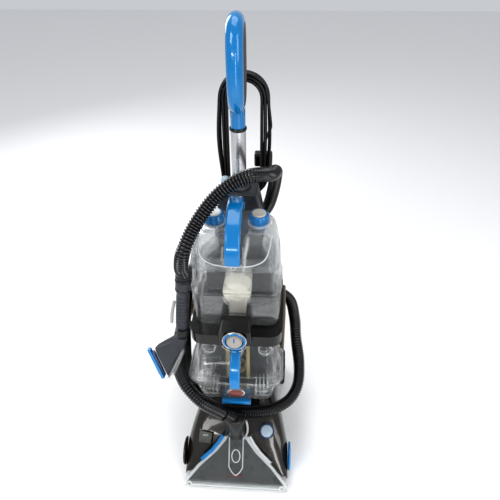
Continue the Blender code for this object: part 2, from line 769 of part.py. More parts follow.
def dial_frame():
    """Middle and outward direction of the dial, on the pod's sloping front."""
    return Vector((0.0, -0.1215, SHELF_TOP_Z + 0.010)), Vector((0.0, -1.0, 0.0))


def spine_body(front, back, inset, low, high, radius):
    """The spine's narrowing outline, drawn in by an inset, between two heights."""
    rows = [(low, SPINE_OUTLINE[0][1]), *SPINE_OUTLINE[1:-1], (high, SPINE_OUTLINE[-1][1])]
    return loft([rounded_section(z, front, back, half - inset, radius) for z, half in rows])


def build_spine(upright):
    wall = 0.004
    low = SHELF_TOP_Z + FIT
    spine = spine_body(SPINE_FRONT_Y, 0.128, 0.0, low, SPINE_TOP_Z, 0.006)
    cut(spine, spine_body(SPINE_FRONT_Y + wall, 0.14, wall, low + wall, SPINE_TOP_Z - wall, 0.003))
    join(spine, cylinder(POLE_RADIUS + 0.005, (0, POLE_Y, POLE_BOTTOM_Z - 0.006), (0, POLE_Y, SPINE_TOP_Z - 0.001), 24))
    join(spine, box((-0.004, 0.004), (SPINE_FRONT_Y + 0.002, POLE_Y - POLE_RADIUS - 0.002),
                    (POLE_BOTTOM_Z, SPINE_TOP_Z - 0.002)))
    cut(spine, cylinder(POLE_RADIUS + GAP, (0, POLE_Y, POLE_BOTTOM_Z - GAP), (0, POLE_Y, SPINE_TOP_Z + 0.02), 32))
    finish(spine, "spine_case", slate(), upright)
    cover = spine_body(0.128 + CASE_BOLT, 0.128 + CASE_BOLT + 0.003, 0.0, low + 0.001, SPINE_TOP_Z - 0.001, 0.001)
    cut(cover, cylinder(0.0063, (*GLAND[:1], 0.12, GLAND[2]), (*GLAND[:1], 0.14, GLAND[2]), 20))
    finish(cover, "spine_back_cover", slate(), upright)
    pole = cylinder(POLE_RADIUS, (0, POLE_Y, POLE_BOTTOM_Z), (0, POLE_Y, POLE_TOP_Z), 32)
    cut(pole, cylinder(POLE_RADIUS - 0.0015, (0, POLE_Y, POLE_BOTTOM_Z - 0.01), (0, POLE_Y, POLE_TOP_Z - 0.002), 24))
    finish(pole, "pole", material("satin_aluminium", (0.60, 0.60, 0.61), 0.35, 1.0), upright)
    rest = turned([(0.0, 0.034), (0.006, 0.032), (0.0095, 0.026), (0.0095, 0.018), (0.006, 0.013),
                   (0.005, 0.0), (0.0, 0.0)], (-0.031, 0.086, SPINE_TOP_Z + GAP), (0, 0, 1), 20)
    finish(rest, "hose_rest", material("pale_blue", (0.42, 0.55, 0.66), 0.3), upright)


# ---------------------------------------------------------------- handle
def loop_point(angle, outward=0.0):
    """A point on the handle loop's centreline, at a turn from its front, seen from its right."""
    middle_z = (HANDLE_TOP_Z + HANDLE_BOTTOM_Z) / 2
    half_height = (HANDLE_TOP_Z - HANDLE_BOTTOM_Z) / 2 - HANDLE_ARM_RADIUS
    c, s = math.cos(angle), math.sin(angle)
    power = 0.72
    y = -math.copysign(abs(c) ** power, c) * (HANDLE_HALF_DEPTH + outward)
    z = math.copysign(abs(s) ** power, s) * (half_height + outward)
    return Vector((0.0, POLE_Y + y, middle_z + z))


def half_loop(side, steps=32):
    """One half shell of the loop: side 1 is the outer skin, -1 the inner grip."""
    rows = []
    for k in range(steps):
        angle = 2 * math.pi * k / steps
        here = loop_point(angle)
        along = (loop_point(angle + 0.02) - loop_point(angle - 0.02)).normalized()
        out = along.cross(Vector((1, 0, 0))).normalized()
        if out.dot(here - Vector((0, POLE_Y, (HANDLE_TOP_Z + HANDLE_BOTTOM_Z) / 2))) < 0:
            out.negate()
        row = []
        for j in range(9):
            turn = math.pi * j / 8
            row.append(here + Vector((math.cos(turn) * HANDLE_ARM_RADIUS * 0.97, 0, 0))
                       + out * side * (GAP + math.sin(turn) * HANDLE_ARM_RADIUS))
        rows.append(row)
    shape = bmesh.new()
    grid = [[shape.verts.new(p) for p in row] for row in rows]
    for a, b in zip(grid, grid[1:] + grid[:1]):
        for j in range(9):
            shape.faces.new((a[j], a[(j + 1) % 9], b[(j + 1) % 9], b[j]))
    return mesh_object("half_loop", shape)


def build_handle(upright):
    outer = half_loop(1)
    stem_low = POLE_TOP_Z + 0.0035
    join(outer, turned([(0.0, HANDLE_BOTTOM_Z + 0.0165 - stem_low), (0.0165, HANDLE_BOTTOM_Z + 0.0165 - stem_low),
                        (0.0158, 0.0), (0.0, 0.0)], (0, POLE_Y, stem_low), (0, 0, 1), 24))
    join(outer, cylinder(0.011, (0, POLE_Y + 0.038, UPPER_HOOK_Z),
                         (0, POLE_Y + HANDLE_HALF_DEPTH + HANDLE_ARM_RADIUS, UPPER_HOOK_Z), 20))
    finish(outer, "handle_outer_shell", blue(), upright)
    inner = half_loop(-1)
    front = POLE_Y - HANDLE_HALF_DEPTH
    trigger_z = TRIGGER_Z
    cut(inner, box((-0.0075, 0.0075), (front + 0.004, front + 0.03), (trigger_z - 0.032, trigger_z + 0.032)))
    finish(inner, "handle_inner_shell", material("grip_grey_brown", (0.10, 0.092, 0.085), 0.55), upright)
    trigger = box((-0.0065, 0.0065), (front + 0.0095, front + 0.0225), (trigger_z - 0.028, trigger_z + 0.028), 0.0025)
    finish(trigger, "spray_trigger", black(), upright,
           origin=(0, front + 0.016, trigger_z + 0.028))


def build_cord_hooks(upright):
    back = POLE_Y + HANDLE_HALF_DEPTH + HANDLE_ARM_RADIUS
    z = UPPER_HOOK_Z
    lip = (WINDING_BACK_Y + GAP, WINDING_BACK_Y + GAP + 0.004)
    post = cylinder(0.010, (0, back + GAP, z), (0, lip[0] + 0.002, z), 20)
    join(post, box((-0.009, 0.009), lip, (z - 0.008, z + 0.048)))
    finish(post, "upper_cord_hook", black(), upright, origin=(0, back, z))
    z = LOWER_HOOK_Z
    arm = box((WINDING_X - 0.012, WINDING_X + 0.012), (0.1322, lip[0] + 0.002), (z - 0.010, z + 0.010))
    join(arm, box((WINDING_X - 0.012, WINDING_X + 0.012), lip, (z - 0.040, z + 0.009)))
    finish(arm, "lower_cord_hook", black(), upright)


# ---------------------------------------------------------------- tanks
def build_clean_tank(lift):
    low = CLEAN_TANK_BOTTOM_Z
    top = CLEAN_TANK_TOP_Z
    rows = ((low, -0.066, 0.046, 0.094, 0.020), (low + 0.006, -0.073, 0.053, 0.102, 0.026),
            (low + 0.100, -0.075, 0.055, 0.1055, 0.028), (low + 0.108, -0.063, 0.055, 0.1045, 0.028),
            (low + 0.178, -0.063, 0.055, 0.0995, 0.028), (low + 0.190, -0.092, 0.055, 0.0975, 0.030),
            (top - 0.032, -0.093, 0.055, 0.092, 0.030), (top - 0.012, -0.072, 0.053, 0.086, 0.028),
            (top, -0.050, 0.046, 0.076, 0.024))
    tank = loft([rounded_section(*row, corner_steps=4) for row in rows])
    shell(tank, TANK_WALL)
    for side in (-1, 1):
        cut(tank, cylinder(0.015, (side * CAP_X, CAP_Y, top - 0.008), (side * CAP_X, CAP_Y, top + 0.01), 24))
    finish(tank, "clean_tank", clear(), lift)
    path = ((0.040, top + 0.0075), (0.036, top + 0.030), (0.018, top + 0.048), (-0.015, top + 0.052),
            (-0.050, top + 0.044), (-0.082, top + 0.022), (-0.1005, top - 0.010), (-0.1020, top - 0.040))
    finish(strip(path, 0.0165, 0.011), "clean_tank_handle", blue(), lift)
    for side, name, colour in ((-1, "detergent_cap", (0.80, 0.80, 0.78)), (1, "water_cap", (0.55, 0.52, 0.47))):
        place = (side * CAP_X, CAP_Y, top + FIT)
        profile = [(0.0, CAP_HEIGHT), (CAP_RADIUS - 0.004, CAP_HEIGHT), (CAP_RADIUS, CAP_HEIGHT - 0.003),
                   (CAP_RADIUS + 0.0015, 0.0), (0.0142, 0.0), (0.0142, -0.010), (0.0, -0.010)]
        finish(turned(profile, place, (0, 0, 1), 32), name,
               material(name + "_plastic", colour, 0.4), lift)
    valve = cylinder(0.034, (0, -0.040, low + 0.078), (0, 0.030, low + 0.078), 32, 0.004)
    join(valve, box((-0.020, 0.020), (-0.030, 0.020), (low + TANK_WALL + FIT, low + 0.050)))
    finish(valve, "tank_valve", material("cream_plastic", (0.83, 0.80, 0.70), 0.35), lift)


def build_dirty_tank(drawer):
    low, top = DIRTY_TANK_BOTTOM_Z, DIRTY_TANK_TOP_Z
    back = CASE_FRONT_Y - 0.003
    rows = ((low, -0.100, back - 0.002, 0.078, 0.020), (low + 0.024, -0.134, back, 0.094, 0.028),
            (low + 0.070, -0.141, back, 0.100, 0.030), (low + 0.082, -0.147, back, 0.108, 0.032),
            (low + 0.094, -0.151, back, 0.116, 0.034), (low + 0.106, -0.151, back, 0.117, 0.034),
            (low + 0.116, -0.138, back, 0.111, 0.034), (low + 0.162, -0.106, back, 0.103, 0.032),
            (top - 0.018, -0.090, back, 0.0995, 0.030), (top, -0.088, back - 0.001, 0.097, 0.028))
    tank = loft([rounded_section(*row, corner_steps=4) for row in rows])
    shell(tank, TANK_WALL)
    cut(tank, box((-0.030, 0.030), (-0.060, -0.036), (top - 0.01, top + 0.01)))
    finish(tank, "dirty_tank", clear(), drawer)
    path = ((-0.1000, top - 0.028), (-0.1200, top - 0.038), (-0.1420, top - 0.060), (-0.1580, top - 0.088),
            (-0.1595, top - 0.112))
    finish(strip(path, 0.0130, 0.010), "dirty_tank_handle", blue(), drawer)
    floater = turned([(0.0, 0.030), (0.010, 0.028), (0.015, 0.020), (0.015, 0.010), (0.010, 0.002), (0.0, 0.0)],
                     (0.0, -0.062, low + 0.110), (0, 0, 1), 20)
    finish(floater, "tank_float", grey(), drawer)
    latch = box((-LATCH_HALF_WIDTH, LATCH_HALF_WIDTH), (LATCH_FRONT_Y, LATCH_FRONT_Y + LATCH_DEPTH),
                (low + 0.006, low + 0.018), 0.003)
    finish(latch, "tank_latch", blue(), drawer, origin=(0, LATCH_FRONT_Y + 0.012, low + 0.017))


# ---------------------------------------------------------------- hose and hand tool


def hose_route():
    """From the port on the base, behind the machine, round its front and over its top to the wand."""
    return [
        (-0.0310, -0.1680, 0.2370), (-0.0440, -0.1680, 0.2495), (-0.0800, -0.1690, 0.2830),
        (-0.1180, -0.1500, 0.3120), (-0.1430, -0.1140, 0.3190), (-0.1600, -0.0700, 0.3120),
        (-0.1720, 0.0000, 0.3060), (-0.1680, 0.0800, 0.3200), (-0.1330, 0.1420, 0.3420),
        (-0.0700, 0.1740, 0.3620), (0.0000, 0.1800, 0.3680), (0.0700, 0.1760, 0.3640),
        (0.1310, 0.1440, 0.3560), (0.1480, 0.0800, 0.3440), (0.1530, 0.0300, 0.3150),
        (0.1640, -0.0100, 0.2550), (0.1620, -0.0500, 0.2150), (0.1380, -0.0880, 0.1930),
        (0.0900, -0.1130, 0.1840), (0.0300, -0.1225, 0.1830), (-0.0300, -0.1225, 0.1860),
        (-0.0850, -0.1150, 0.2040), (-0.1240, -0.0880, 0.2430), (-0.1400, -0.0560, 0.3000),
        (-0.1420, -0.0300, 0.3650), (-0.1410, 0.0050, 0.4250), (-0.1360, 0.0620, 0.4750),
        (-0.1240, 0.1180, 0.5030), (-0.0960, 0.1540, 0.5270), (-0.0500, 0.1640, 0.5600),
        (-0.0100, 0.1640, 0.5880),
        (0.0300, 0.1600, 0.6150), (0.0640, 0.1570, 0.6600), (0.0780, 0.1580, 0.7100),
        (0.0830, 0.1500, 0.7560), (0.0820, 0.1200, 0.7820), (0.0740, 0.0800, 0.7960),
        (0.0580, 0.0500, 0.8120), (0.0300, 0.0250, 0.8220), (-0.0050, 0.0050, 0.8150),
        (-0.0450, -0.0200, 0.7880), (-0.0800, -0.0550, 0.7480), (-0.1020, -0.0900, 0.7080),
        (-0.1130, -0.0860, 0.6620), (-0.1152, -0.0690, 0.6250),
    ]


def build_hose(root, upright):
    hose = tube(smooth_route(hose_route(), 0.034), HOSE_RADIUS, 2)
    finish(hose, "stretch_hose", black(), root)
    y, low = CONNECTOR_Y, CONNECTOR_LOW_Z
    cuff = cylinder(CONNECTOR_RADIUS, (0, y, low), (0, y, low + 0.075), 32, 0.003)
    join(cuff, cylinder(HOSE_STUB_RADIUS, (0.0, y, low + 0.055), (-0.0300, y, low + 0.082), 24))
    finish(cuff, "hose_connector", black(), root)
    lever = tube_mesh(smooth_route([(0.0275, y - 0.006, low + 0.066), (0.0310, y - 0.009, low + 0.045),
                                    (0.0300, y - 0.013, low + 0.022), (0.0230, y - 0.023, low + 0.008)], 0.010),
                      0.0028, 2)
    finish(lever, "connector_lever", grey(), root, origin=(0.0255, y - 0.006, low + 0.066))


def build_wand(upright, tool):
    axis = (WAND_LOW - WAND_TOP)
    along = axis.normalized()
    length = axis.length
    profile = [(0.0, 0.0), (0.0125, 0.0), (0.0180, 0.004), (0.0180, 0.030), (WAND_RADIUS, 0.036),
               (WAND_RADIUS, length - 0.012), (0.0125, length), (0.0, length)]
    wand = turned(list(reversed(profile)), WAND_TOP, along, 28)
    finish(wand, "wand_grip", slate(), upright)
    side = Vector((-1, 0, 0))
    side = (side - along * side.dot(along)).normalized()
    start = WAND_TOP + along * (length * 0.42) + side * (WAND_RADIUS + 0.0045)
    end = WAND_TOP + along * (length * 0.80) + side * (WAND_RADIUS + 0.0105)
    middle = (start + end) / 2 + side * 0.002
    trigger = tube_mesh(smooth_route([start, middle, end], 0.012), 0.0040, 2)
    finish(trigger, "wand_trigger", grey(), upright, origin=start)
    build_hand_tool(tool)
    build_tool_clip(upright, along)


def tool_section(t, steps=20):
    """A section of the hand tool, from its round neck at 0 to its long thin lip at 1."""
    neck = WAND_LOW + (WAND_LOW - WAND_TOP).normalized() * 0.0060
    centre = neck.lerp(TOOL_LIP, t)
    turn = math.radians(8 + 71 * t ** 0.7)
    lip = Vector((math.cos(turn), 0.0, -math.sin(turn)))
    half = 0.0125 + 0.0465 * t ** 1.15
    thick = 0.0125 - 0.0055 * t
    points = []
    for k in range(steps):
        angle = 2 * math.pi * k / steps
        across = math.copysign(abs(math.cos(angle)) ** 0.6, math.cos(angle))
        out = math.copysign(abs(math.sin(angle)) ** 0.6, math.sin(angle))
        points.append(centre + lip * (across * half) - Vector((0, 1, 0)) * (out * thick))
    return points


def build_hand_tool(tool):
    tool_part = loft([tool_section(t) for t in (0.0, 0.15, 0.4, 0.7, 1.0)])
    finish(tool_part, "hand_tool", slate(), tool, origin=WAND_LOW)
    turn = math.radians(79)
    strip_part = box((-0.0565, 0.0565), (-0.0050, 0.0050), (0.0, 0.0080))
    facing = Vector((-math.sin(turn), 0.0, -math.cos(turn)))
    strip_part.location = TOOL_LIP + facing * 0.0165
    strip_part.rotation_euler = (0.0, turn, 0.0)
    finish(strip_part, "tool_brush_strip", blue(), tool)
    window = [(-0.1180, 0.4350), (-0.1260, 0.4370), (-0.1640, 0.3430), (-0.1800, 0.3060),
              (-0.1690, 0.3020), (-0.1480, 0.3500)]
    middle = Vector((-0.1500, 0.0, 0.3700))
    outline = [(x - middle.x, z - middle.z) for x, z in window]
    lean = math.radians(90 + 5.0)
    plate = outline_plate(outline, 0.003, (middle.x, -0.1245, middle.z), (lean, 0, 0))
    finish(plate, "tool_window", clear(), tool)


def build_tool_clip(upright, along):
    centre = WAND_LOW - along * 0.016
    arm_front = centre.y + WAND_RADIUS + 0.0016
    arm = box((centre.x - 0.002, -CASE_HALF_WIDTH - 0.0015), (arm_front, arm_front + 0.0100),
              (CASE_TOP_Z + 0.001, CASE_TOP_Z + 0.0085))
    grip = ring(WAND_RADIUS + 0.0040, WAND_RADIUS + 0.0006, centre - along * 0.008, 0.016, along)
    clip_mouth = box((-0.012, 0.012), (-0.030, 0.0), (-0.02, 0.02))
    clip_mouth.location = centre + Vector((-0.012, -0.002, 0))
    clip_mouth.rotation_euler = (0, 0, math.radians(-35))
    cut(grip, clip_mouth)
    join(grip, arm)
    finish(grip, "tool_clip", black(), upright)


# ---------------------------------------------------------------- power cord
def build_cord(upright):
    x, y, z = GLAND
    relief = turned([(0.0, 0.030), (0.0050, 0.030), (0.0068, 0.006), (0.0090, 0.004), (0.0090, 0.0),
                     (0.0, 0.0)], (x, y, z), (0, 1, 0), 16)
    finish(relief, "strain_relief", black(), upright)
    start = y + 0.030 + 2 * GAP
    lead = [(x, start, z), (x, start + 0.005, z), (x, start + 0.014, z + 0.002), (x - 0.001, start + 0.030, z + 0.014),
            (x - 0.001, start + 0.036, z + 0.040), (x - 0.001, start + 0.034, z + 0.062),
            (x - 0.001, WINDING_BACK_Y + 0.012, z + 0.084), (x - 0.001, WINDING_BACK_Y + 0.006, z + 0.086),
            (x - 0.001, WINDING_BACK_Y + 2 * GAP, z + 0.086)]
    finish(tube(smooth_route(lead, 0.012), CORD_RADIUS, 2), "cord_lead", black(), upright)
    half_height = (WINDING_TOP_Z - WINDING_BOTTOM_Z) / 2
    middle_z = (WINDING_TOP_Z + WINDING_BOTTOM_Z) / 2
    outer = racetrack(WINDING_HALF_WIDTH, half_height)
    inner = racetrack(WINDING_HALF_WIDTH - WINDING_BAND, half_height - WINDING_BAND)
    winding = outline_plate(outer, WINDING_DEPTH, (WINDING_X, WINDING_BACK_Y - WINDING_DEPTH / 2, middle_z),
                            (math.radians(90), 0, 0), holes=(inner,))
    finish(winding, "cord_winding", black(), upright)
    tail_x = WINDING_X + WINDING_HALF_WIDTH - WINDING_BAND / 2
    back = WINDING_BACK_Y + 2 * GAP
    tail = [(tail_x, back, 0.860), (tail_x, back + 0.005, 0.860), (tail_x, back + 0.012, 0.858), (tail_x + 0.001, back + 0.021, 0.846),
            (tail_x + 0.001, back + 0.023, 0.826), (tail_x, back + 0.022, 0.8003)]
    finish(tube(smooth_route(tail, 0.010), CORD_RADIUS, 2), "cord_tail", black(), upright)
    plug_y = back + 0.022
    plug = box((tail_x - 0.022, tail_x + 0.022), (plug_y - 0.010, plug_y + 0.012), (0.752, 0.788), 0.004)
    join(plug, cylinder(0.0060, (tail_x, plug_y, 0.786), (tail_x, plug_y, 0.800), 14))
    for dx, dz, w in ((0, 0.010, 0.004), (-0.011, -0.009, 0.003), (0.011, -0.009, 0.003)):
        join(plug, box((tail_x + dx - w, tail_x + dx + w), (plug_y + 0.011, plug_y + 0.030),
                       (0.770 + dz - 0.002, 0.770 + dz + 0.002)))
    finish(plug, "mains_plug", black(), upright)


# ---------------------------------------------------------------- the whole machine
def centre_on_footprint(root):
    """Moves the machine so that the middle of its box, without the cord, stands at the origin."""
    bpy.context.view_layer.update()
    graph = bpy.context.evaluated_depsgraph_get()
    low, high = Vector((9, 9, 9)), Vector((-9, -9, -9))
    for obj in PARTS.objects:
        if obj.type == "EMPTY" or obj.name in LOOSE_NODES:
            continue
        done = obj.evaluated_get(graph)
        data = done.to_mesh()
        for vertex in data.vertices:
            place = obj.matrix_world @ vertex.co
            low = Vector(map(min, low, place))
            high = Vector(map(max, high, place))
        done.to_mesh_clear()
    root.location = (-(low.x + high.x) / 2, -(low.y + high.y) / 2, -low.z)


def main():
    start_scene()
    root = empty("machine_frame", (0, 0, 0))
    upright = empty("recline_axis", (0, *PIVOT), root)
    lift = empty("clean_tank_lift", (0, 0, CLEAN_TANK_BOTTOM_Z), upright)
    drawer = empty("dirty_tank_slide", (0, -0.06, DIRTY_TANK_BOTTOM_Z), upright)
    tool = empty("hand_tool_socket", WAND_LOW, upright)
    build_chassis(root)
    build_wheels(root)
    build_hood(root)
    build_foot_controls(root)
    build_nozzle(root)
    build_side_trims(root)
    build_brush_drive(root)
    build_spray_bar(root)
    build_lower_case(upright)
    build_suction(upright)
    build_shelf(upright)
    build_spine(upright)
    build_handle(upright)
    build_cord_hooks(upright)
    build_clean_tank(lift)
    build_dirty_tank(drawer)
    build_hose(root, upright)
    build_wand(upright, tool)
    build_cord(upright)
    centre_on_footprint(root)


main()
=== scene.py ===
"""Upright carpet cleaner: finishes, fittings, hose, mains cord and stage, built round the fixed frame.

Run as a script.  Every length is in metres.  Pieces are placed in the machine's own
coordinates: X = 0 is its plane of symmetry, -Y its front, and Z = 0 the floor.
"""

import json
import math

import bmesh
import bpy
from mathutils import Matrix, Vector
from mathutils.bvhtree import BVHTree


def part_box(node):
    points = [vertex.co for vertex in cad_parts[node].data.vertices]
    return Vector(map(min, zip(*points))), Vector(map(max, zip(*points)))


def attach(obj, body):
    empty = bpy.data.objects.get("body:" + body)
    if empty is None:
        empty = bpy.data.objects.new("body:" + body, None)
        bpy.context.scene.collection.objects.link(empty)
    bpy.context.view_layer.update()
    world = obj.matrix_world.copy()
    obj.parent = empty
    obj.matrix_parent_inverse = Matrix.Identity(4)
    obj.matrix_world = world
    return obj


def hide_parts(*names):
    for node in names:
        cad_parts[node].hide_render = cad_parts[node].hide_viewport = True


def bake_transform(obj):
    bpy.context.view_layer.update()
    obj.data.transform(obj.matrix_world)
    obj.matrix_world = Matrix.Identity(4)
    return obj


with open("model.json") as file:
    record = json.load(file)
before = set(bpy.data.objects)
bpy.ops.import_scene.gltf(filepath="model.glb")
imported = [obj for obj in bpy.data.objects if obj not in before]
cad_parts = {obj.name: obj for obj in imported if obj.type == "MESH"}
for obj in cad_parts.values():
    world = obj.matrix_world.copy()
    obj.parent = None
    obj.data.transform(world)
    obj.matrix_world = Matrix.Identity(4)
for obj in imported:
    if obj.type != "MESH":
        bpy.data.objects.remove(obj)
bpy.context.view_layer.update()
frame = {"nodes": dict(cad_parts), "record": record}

bl_info = {
    "name": "Upright Carpet Cleaner",
    "version": (1, 0, 0),
    "blender": (4, 5, 0),
    "location": "3D View > Sidebar > Carpet Cleaner",
    "description": "Builds the finishes, fittings, hose and cord of an upright carpet cleaner",
    "category": "Object",
}

POLE_LOW, POLE_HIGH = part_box("pole")
POLE_Y = 0.100
MIDDLE = Vector(((POLE_LOW.x + POLE_HIGH.x) / 2, (POLE_LOW.y + POLE_HIGH.y) / 2 - POLE_Y, 0.0))

NODE_SLOT = {row["node"]: row["material_slot"] for row in frame["record"]["subparts"]}
NODE_BODY = {node: body for body, nodes in frame["record"]["behaviour"]["bodies"].items()
             for node in nodes}
SLOT_COLOUR = {row["slot"]: tuple(row["base_color"][:3]) for row in frame["record"]["materials"]}

# where the stretch hose runs, from the nozzle's port to the wand
HOSE_ROUTE = (
    (-0.0310, -0.1680, 0.2370), (-0.0440, -0.1680, 0.2495), (-0.0800, -0.1690, 0.2830),
    (-0.1180, -0.1500, 0.3120), (-0.1430, -0.1140, 0.3190), (-0.1600, -0.0700, 0.3120),
    (-0.1720, 0.0000, 0.3060), (-0.1680, 0.0800, 0.3200), (-0.1330, 0.1420, 0.3420),
    (-0.0700, 0.1740, 0.3620), (0.0000, 0.1800, 0.3680), (0.0700, 0.1760, 0.3640),
    (0.1310, 0.1440, 0.3560), (0.1480, 0.0800, 0.3440), (0.1530, 0.0300, 0.3150),
    (0.1640, -0.0100, 0.2550), (0.1620, -0.0500, 0.2150), (0.1380, -0.0880, 0.1930),
    (0.0900, -0.1130, 0.1840), (0.0300, -0.1225, 0.1830), (-0.0300, -0.1225, 0.1860),
    (-0.0850, -0.1150, 0.2040), (-0.1240, -0.0880, 0.2430), (-0.1400, -0.0560, 0.3000),
    (-0.1420, -0.0300, 0.3650), (-0.1410, 0.0050, 0.4250), (-0.1360, 0.0620, 0.4750),
    (-0.1240, 0.1180, 0.5030), (-0.0960, 0.1540, 0.5270), (-0.0500, 0.1640, 0.5600),
    (-0.0100, 0.1640, 0.5880), (0.0300, 0.1600, 0.6150), (0.0640, 0.1570, 0.6600),
    (0.0780, 0.1580, 0.7100), (0.0830, 0.1500, 0.7560), (0.0820, 0.1200, 0.7820),
    (0.0740, 0.0800, 0.7960), (0.0580, 0.0500, 0.8120), (0.0300, 0.0250, 0.8220),
    (-0.0050, 0.0050, 0.8150), (-0.0450, -0.0200, 0.7880), (-0.0800, -0.0550, 0.7480),
    (-0.1020, -0.0900, 0.7080), (-0.1130, -0.0860, 0.6620), (-0.1152, -0.0690, 0.6250),
)
GLAND = (-0.0450, 0.1318, 0.6550)       # where the mains cord leaves the back cover
PLUG_NECK = (0.0510, 0.2046, 0.8000)


# ---------------------------------------------------------------- placing
def at(x, y, z):
    """A point of the machine in the frame's coordinates."""
    return Vector((x, y, z)) + MIDDLE


def smooth_path(points, spacing):
    """The same route as evenly spaced points on one smooth curve (Catmull-Rom)."""
    known = [Vector(p) for p in points]
    first, last = 2 * known[0] - known[1], 2 * known[-1] - known[-2]
    known = [first, *known, last]
    dense = []
    for a, b, c, d in zip(known, known[1:], known[2:], known[3:]):
        steps = max(4, int((c - b).length / spacing * 3))
        for i in range(steps):
            t = i / steps
            dense.append(0.5 * ((2 * b) + (c - a) * t + (2 * a - 5 * b + 4 * c - d) * t ** 2
                                + (3 * b - a - 3 * c + d) * t ** 3))
    dense.append(known[-2])
    return evenly(dense, spacing)


def evenly(points, spacing):
    """Points at an even spacing along a polyline."""
    lengths = [0.0]
    for a, b in zip(points, points[1:]):
        lengths.append(lengths[-1] + (b - a).length)
    count = max(2, round(lengths[-1] / spacing))
    found, place = [], 0
    for i in range(count + 1):
        want = lengths[-1] * i / count
        while place < len(points) - 2 and lengths[place + 1] < want:
            place += 1
        gap = lengths[place + 1] - lengths[place]
        share = (want - lengths[place]) / gap if gap else 0.0
        found.append(points[place].lerp(points[place + 1], min(1.0, share)))
    return found


def route_length(points):
    return sum((b - a).length for a, b in zip(points, points[1:]))


def frames_along(points):
    """(point, across, up) at each point, turned as little as possible from one to the next."""
    tangents = []
    for i in range(len(points)):
        ahead = points[min(i + 1, len(points) - 1)]
        behind = points[max(i - 1, 0)]
        tangents.append((ahead - behind).normalized())
    side = tangents[0].orthogonal().normalized()
    found = []
    for i, (point, tangent) in enumerate(zip(points, tangents)):
        if i:
            side = tangents[i - 1].rotation_difference(tangent) @ side
        side = (side - tangent * side.dot(tangent)).normalized()
        found.append((point, side, tangent.cross(side)))
    return found


# ---------------------------------------------------------------- making meshes
def shade(bm, crease):
    """Smooth shading, with edges sharper than crease degrees left crisp."""
    limit = math.radians(crease)
    for face in bm.faces:
        face.smooth = True
    for edge in bm.edges:
        edge.smooth = len(edge.link_faces) != 2 or edge.calc_face_angle(0.0) < limit


def piece(bm, name, finish, body, stands_for=(), crease=38, edge=0.0, segments=2,
          turn_out=True):
    """Makes bm a finished piece on a body of the frame."""
    if turn_out:
        bmesh.ops.recalc_face_normals(bm, faces=bm.faces)
    shade(bm, crease)
    mesh = bpy.data.meshes.new(name)
    bm.to_mesh(mesh)
    bm.free()
    if "custom_normal" in mesh.attributes:
        mesh.attributes.remove(mesh.attributes["custom_normal"])
    return set_up(mesh, name, finish, body, stands_for, crease, edge, segments)


def set_up(data, name, finish, body, stands_for=(), crease=38, edge=0.0, segments=2):
    obj = bpy.data.objects.new(name, data)
    bpy.context.scene.collection.objects.link(obj)
    data.materials.clear()
    data.materials.append(bpy.data.materials[finish])
    if edge:
        rounding = obj.modifiers.new("rounded_edges", "BEVEL")
        rounding.limit_method = "ANGLE"
        rounding.angle_limit = math.radians(crease)
        rounding.width = edge
        rounding.segments = segments
        rounding.harden_normals = True
    if body:
        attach(obj, body)
    if stands_for:
        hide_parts(*stands_for)
    return obj


def skin(node, finish=None, edge=0.0006, crease=38, segments=2, name=None):
    """A copy of a CAD node with merged corners, smooth faces and rounded edges, in its finish."""
    bm = bmesh.new()
    bm.from_mesh(frame["nodes"][node].data)
    bmesh.ops.remove_doubles(bm, verts=bm.verts, dist=2e-6)
    bmesh.ops.dissolve_limit(bm, angle_limit=math.radians(0.6), verts=bm.verts, edges=bm.edges)
    slot = NODE_SLOT[node]
    return piece(bm, name or node + "_moulding", finish or slot, NODE_BODY[node], (node,),
                 crease, edge, segments, turn_out=False)


def since(bm, before):
    """The vertices that bm has gained."""
    return [v for v in bm.verts if v not in before]


def add_turned(bm, profile, place, direction, sides=48):
    """A turned shape: profile is (radius, height) from one end of its axis to the other."""
    before = set(bm.verts)
    verts = [bm.verts.new((r, 0.0, h)) for r, h in profile]
    edges = [bm.edges.new(pair) for pair in zip(verts, verts[1:])]
    bmesh.ops.spin(bm, geom=verts + edges, cent=(0, 0, 0), axis=(0, 0, 1), angle=math.tau,
                   steps=sides, use_merge=True)
    bmesh.ops.remove_doubles(bm, verts=since(bm, before), dist=1e-7)
    made = since(bm, before)
    turn = Vector((0, 0, 1)).rotation_difference(Vector(direction).normalized())
    bmesh.ops.transform(bm, matrix=Matrix.Translation(place) @ turn.to_matrix().to_4x4(),
                        verts=made)
    return made


def add_block(bm, low, high, rounding=0.0, segments=2, turn=None):
    """A rounded block between two corners; turn is a rotation about its middle."""
    low, high = Vector(low), Vector(high)
    middle, size = (low + high) / 2, high - low
    before = set(bm.verts)
    made = bmesh.ops.create_cube(bm, size=1.0)["verts"]
    bmesh.ops.scale(bm, vec=size, verts=made)
    if rounding:
        edges = list({e for v in made for e in v.link_edges})
        bmesh.ops.bevel(bm, geom=edges, offset=rounding, segments=segments, profile=0.5,
                        affect="EDGES", material=-1)
        made = since(bm, before)
    matrix = Matrix.Translation(middle) @ (turn or Matrix.Identity(3)).to_4x4()
    bmesh.ops.transform(bm, matrix=matrix, verts=made)
    return made


